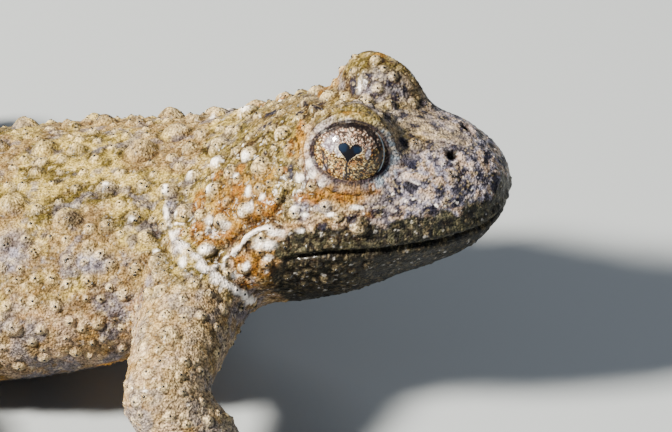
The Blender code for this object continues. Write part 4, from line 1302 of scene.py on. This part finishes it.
def skin_material():
    """Skin painted by its attributes: paint, how wet it is, and how much grain the paint shows."""
    material = new_material("skin", SKIN_SHINE)
    metres = add_node(material, "ShaderNodeTexCoord", {})["Object"]
    place = add_node(material, "ShaderNodeVectorMath", {0: metres, "Scale": 1 / MM}, "SCALE")["Vector"]
    fine = add_node(material, "ShaderNodeTexNoise", {"Vector": place, **FINE_GRAIN})["Fac"]
    pebbles = add_node(material, "ShaderNodeTexVoronoi", {"Vector": place, **PEBBLES})["Distance"]
    grain = add_node(material, "ShaderNodeMapRange", {"Value": fine, **GRAIN_RANGE})["Result"]
    shade_terms = {0: grain, 1: attribute(material, "grain"), 2: 1.0}
    shade = add_node(material, "ShaderNodeMath", shade_terms, "MULTIPLY_ADD")["Value"]
    paint = {0: attribute(material, "paint", "Color"), "Scale": shade}
    speckled = add_node(material, "ShaderNodeVectorMath", paint, "SCALE")["Vector"]
    height_terms = {0: pebbles, 1: PEBBLE_HEIGHT, 2: fine}
    height = add_node(material, "ShaderNodeMath", height_terms, "MULTIPLY_ADD")["Value"]
    bump = add_node(material, "ShaderNodeBump", {"Height": height, **BUMP})["Normal"]
    wet = attribute(material, "wet")
    feed_shader(material, {"Base Color": speckled, "Coat Weight": wet, "Normal": bump})
    return material


def eye_material():
    material = new_material("eye", EYE_SHINE)
    feed_shader(material, {"Base Color": attribute(material, "paint", "Color")})
    return material


def plain_material(name, colour, roughness):
    return new_material(name, {"Roughness": roughness, "Base Color": (*colour, 1)})


# Eyeballs


def eye_paint(ahead, up):
    """The eye's colour at places across the gaze, ahead and up from its middle, in millimetres, with painted
    lid shadow, a painted sky reflection in the pupil, and painted glare and glint.
    """
    flat = np.stack((ahead, up, np.zeros(len(ahead))), axis=1)
    radius = np.hypot(ahead, up)
    wobble = layered(flat, 0.3, 71) - 0.5
    angle = np.arctan2(up + 0.3, ahead)
    radial = np.stack((radius / 0.15, angle / 0.105, np.zeros(len(ahead))), axis=1)
    near, second = cell_distances(radial + wobble[:, None] * 1.5, 1.0, 5)
    net = 1 - smoothstep(0.10, 0.28, second - near)
    grains = spots(flat, 0.10, 77, 0.54, 0.59, 2)
    glitter = layered(flat, 0.08, 79, 2)

    # Silver spots, partly painted glare
    silver_and_glare_share = np.zeros(len(ahead))
    for along, raised, wide, high in EYE_SILVER_AND_GLARE:
        distance = np.hypot((ahead - along) / wide, (up - raised) / high) + wobble * 1.4
        silver_and_glare_share = np.maximum(silver_and_glare_share, 1 - smoothstep(0.75, 1.2, distance))
    top = mix(plain(IRIS_TOP, ahead), (IRIS_TOP_LIGHT, smoothstep(0.46, 0.62, glitter)))
    silver_and_glare = mix(plain(SILVER_AND_GLARE, ahead), (SILVER_AND_GLARE_LIGHT, smoothstep(0.45, 0.62, glitter)))
    paint = mix(
        plain(IRIS, ahead),
        (IRIS_LIGHT, smoothstep(0.44, 0.58, glitter)),
        (IRIS_RUST, spots(flat, 0.35, 83, 0.52, 0.66) * 0.7),
        (top, smoothstep(0.35, 0.65, up + wobble * 0.6)),
        (silver_and_glare, silver_and_glare_share * 0.9),
        (NET, np.maximum(net * 0.92, grains * 0.97) * (1 - 0.35 * silver_and_glare_share)),
    )
    for line, half_width in EYE_LINES_AND_SHADOW:
        distance = distance_to_line(flat[:, :2], line) + wobble * 0.07
        paint = mix(paint, (LINE_AND_SHADOW_COLOUR, smoothstep(1.3, 0.7, distance / half_width) * 0.95))

    aside = (np.abs(ahead) - LOBE["aside"]) / LOBE["aside"]
    lobes = np.hypot(aside, (up - LOBE["up"]) / LOBE["height"])
    taper = 0.64 - 0.61 * smoothstep(0.46, -0.44, up)
    wedge = np.where((up < 0.42) & (up > -0.5), np.abs(ahead + 0.04) / taper, FAR)
    heart = np.minimum(lobes, wedge)
    rim = bell(heart - 1.09, 0.05) * (up > -0.4) * smoothstep(0.66, 0.36, up)
    # Painted sky reflection in the pupil's lobes
    sky_reflection = (1 - smoothstep(0.4, 0.95, lobes + wobble)) * smoothstep(0.05, 0.3, np.abs(ahead))
    paint = mix(
        paint,
        (PUPIL_RIM, rim * 0.85),
        (PUPIL, 1 - smoothstep(0.95, 1.04, heart)),
        (PUPIL_SKY_REFLECTION, sky_reflection * 0.9),
    )
    # Painted lid shadow: the ball darkened towards its rim and under the upper lid, with a dark rim
    shaded = np.maximum(smoothstep(1.65, 1.95, radius), smoothstep(1.25, 1.6, up))
    paint = paint * (0.86 - 0.46 * shaded)[:, None]
    glint = bell(radius - 1.88, 0.024) * smoothstep(0.8, 1.3, ahead)
    return mix(paint, (EYE_RIM_SHADOW, smoothstep(1.95, 2.0, radius)), (EYE_GLINT, glint * 0.7))


def make_eye(side, sign, material):
    """An eyeball as rings round the gaze, dense enough to carry its colours at its corners."""
    centre, gaze, ahead, up = eye_frame(sign)
    mesh = bmesh.new()
    front = mesh.verts.new(centre + gaze * BALL_RADIUS)
    back = mesh.verts.new(centre - gaze * BALL_RADIUS)
    rings = []
    for i in range(1, EYE_RINGS):
        share = i / EYE_RINGS
        angle = math.pi * (0.62 * share + 0.38 * share**3)

        def place_at(turn):
            out = ahead * math.cos(turn) + up * math.sin(turn)
            return centre + (gaze * math.cos(angle) + out * math.sin(angle)) * BALL_RADIUS

        rings.append(ring(mesh, EYE_SIDES, place_at))
    for one, two in zip(rings, rings[1:]):
        band(mesh, one, two)
    fan(mesh, rings[0], front)
    fan(mesh, rings[-1], back)
    bmesh.ops.recalc_face_normals(mesh, faces=mesh.faces)
    data = to_data(mesh, f"eyeball_{side}")
    out = mesh_points(data) - np.array(centre)
    paint = eye_paint(out @ np.array(ahead), out @ np.array(up))
    paint[out @ np.array(gaze) < 0] = EYE_BACK
    store_colours(data, paint)
    finished(f"eyeball_{side}", data, material, "eye", f"eye_{side}")


def store_colours(data, paint):
    attribute = data.color_attributes.new("paint", "FLOAT_COLOR", "POINT")
    full = np.ones((len(paint), 4), dtype=np.float32)
    full[:, :3] = np.clip(paint, 0, 1)
    attribute.data.foreach_set("color", full.ravel())


def store_numbers(data, name, numbers):
    attribute = data.attributes.new(name, "FLOAT", "POINT")
    attribute.data.foreach_set("value", np.clip(numbers, 0, 1).astype(np.float32))


def finished(name, data, material, slot, *nodes):
    """A piece of the toad in the frame's axes and metres, riding on the frame."""
    data.transform(Matrix.Scale(MM, 4) @ Matrix.Translation(SHIFT))
    data.materials.clear()
    data.materials.append(material)
    data.shade_smooth()
    obj = add_object(name, data)
    if nodes:
        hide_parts(*nodes)
    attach(obj, "root")


# The finished skin and its spines


def make_skin(material):
    """The skin with its relief and colours. Gives the places of the spines."""
    skin = Skin(skin_mesh())
    nostrils = {sign: skin.surface.find_nearest(head_place(NOSTRIL, sign))[0] for sign in (1, -1)}
    nostril, skin.masks["nostril"] = nostril_relief(skin.points, nostrils)
    warts = place_warts(skin)
    folds = fold_relief(skin)
    relief = wart_relief(skin, warts)
    relief += folds * smoothstep(0.05, 0.3, skin.from_eye) + nostril + mouth_relief(skin.head_points)
    moved = shape_lids(skin.points + skin.normals * relief[:, None], skin.masks)
    moved[:, 2] = np.maximum(moved[:, 2], 0)
    mark_patches(skin)
    paint, wet, grain = skin_paint(skin)
    store_colours(skin.data, paint)
    store_numbers(skin.data, "wet", wet)
    store_numbers(skin.data, "grain", grain)
    skin.data.vertices.foreach_set("co", moved.ravel())
    skin.data.update()
    spines = spine_places(skin, warts)
    fleshy = [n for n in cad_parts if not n.startswith("eye_")]
    finished("skin", skin.data, material, "warty_skin", *fleshy)
    return spines


def spine_places(skin, warts):
    """(place, normal, radius) for the dark spine tips: several on a large wart, one on a small one."""
    draw = random.Random(WART_SEED + 1)
    points, normals = mesh_points(skin.data), mesh_normals(skin.data)
    found = []

    def add(vertex, kind):
        radius = draw.uniform(*SPINE_RADII[kind])
        if normals[vertex][2] > -0.5 and skin.from_eye[vertex] > 0.5:
            found.append((Vector(points[vertex]), Vector(normals[vertex]), radius))

    for place, radius in warts["wart"]:
        near = skin.tree.find_range(place, radius * 0.75)
        for _ in range(draw.randint(*SPINES_PER_WART)):
            add(draw.choice(near)[1], "wart")
    for place, _ in warts["small_wart"]:
        add(skin.tree.find(place)[1], "small_wart")
    for place, _ in warts["granule"]:
        if draw.random() < SPINED_GRANULES:
            add(skin.tree.find(place)[1], "granule")
    return found


def make_spines(places, material):
    """One mesh of small dark domes, each with its foot sunk in the skin."""
    mesh = bmesh.new()
    for place, normal, radius in places:
        turn = normal.to_track_quat("Z", "Y")
        rings = []
        for height, width in SPINE_PROFILE:

            def place_at(angle):
                local = Vector((math.cos(angle) * width, math.sin(angle) * width, height))
                return place + turn @ (local * radius)

            rings.append(ring(mesh, SPINE_SIDES, place_at))
        for one, two in zip(rings, rings[1:]):
            band(mesh, one, two)
        fan(mesh, rings[-1], mesh.verts.new(place + turn @ Vector((0, 0, radius * SPINE_TIP))))
        mesh.faces.new(rings[0][::-1])
    finished("wart_spines", to_data(mesh, "spines"), material, "warty_skin")


# Floor and light


def make_floor():
    mesh = bmesh.new()
    bmesh.ops.create_grid(mesh, x_segments=1, y_segments=1, size=FLOOR_HALF_SIZE)
    data = to_data(mesh, "floor")
    data.materials.append(plain_material("floor", FLOOR_COLOUR, 0.6))
    floor = add_object("floor", data)


def make_light(name, way, distance, size, power, colour):
    """A soft square light, seen from the toad along the given direction."""
    data = bpy.data.lights.new(name, "AREA")
    data.shape = "SQUARE"
    data.size = size
    data.energy = power
    data.color = colour
    light = add_object(name, data)
    way = Vector(way).normalized()
    light.location = way * distance
    light.rotation_mode = "QUATERNION"
    light.rotation_quaternion = way.to_track_quat("Z", "Y")


def make_world():
    world = bpy.data.worlds.new("studio")
    bpy.context.scene.world = world
    world.use_nodes = True
    background = world.node_tree.nodes["Background"]
    for name, value in SKY.items():
        background.inputs[name].default_value = value


def find_shift():
    """The move from the part's axes to the frame's, from where the right eye lies."""
    low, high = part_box("eye_right")
    centre = (low + high) / 2 / MM - head_place(EYE_CENTRE, -1)
    return Vector((centre.x, centre.y, 0))


SHIFT = find_shift()
make_camera(SHIFT)
spine_list = make_skin(skin_material())
make_spines(spine_list, plain_material("spine", SPINE_COLOUR, 0.25))
iris = eye_material()
make_eye("left", 1, iris)
make_eye("right", -1, iris)
make_floor()
for light_values in LIGHTS:
    make_light(*light_values)
make_world()
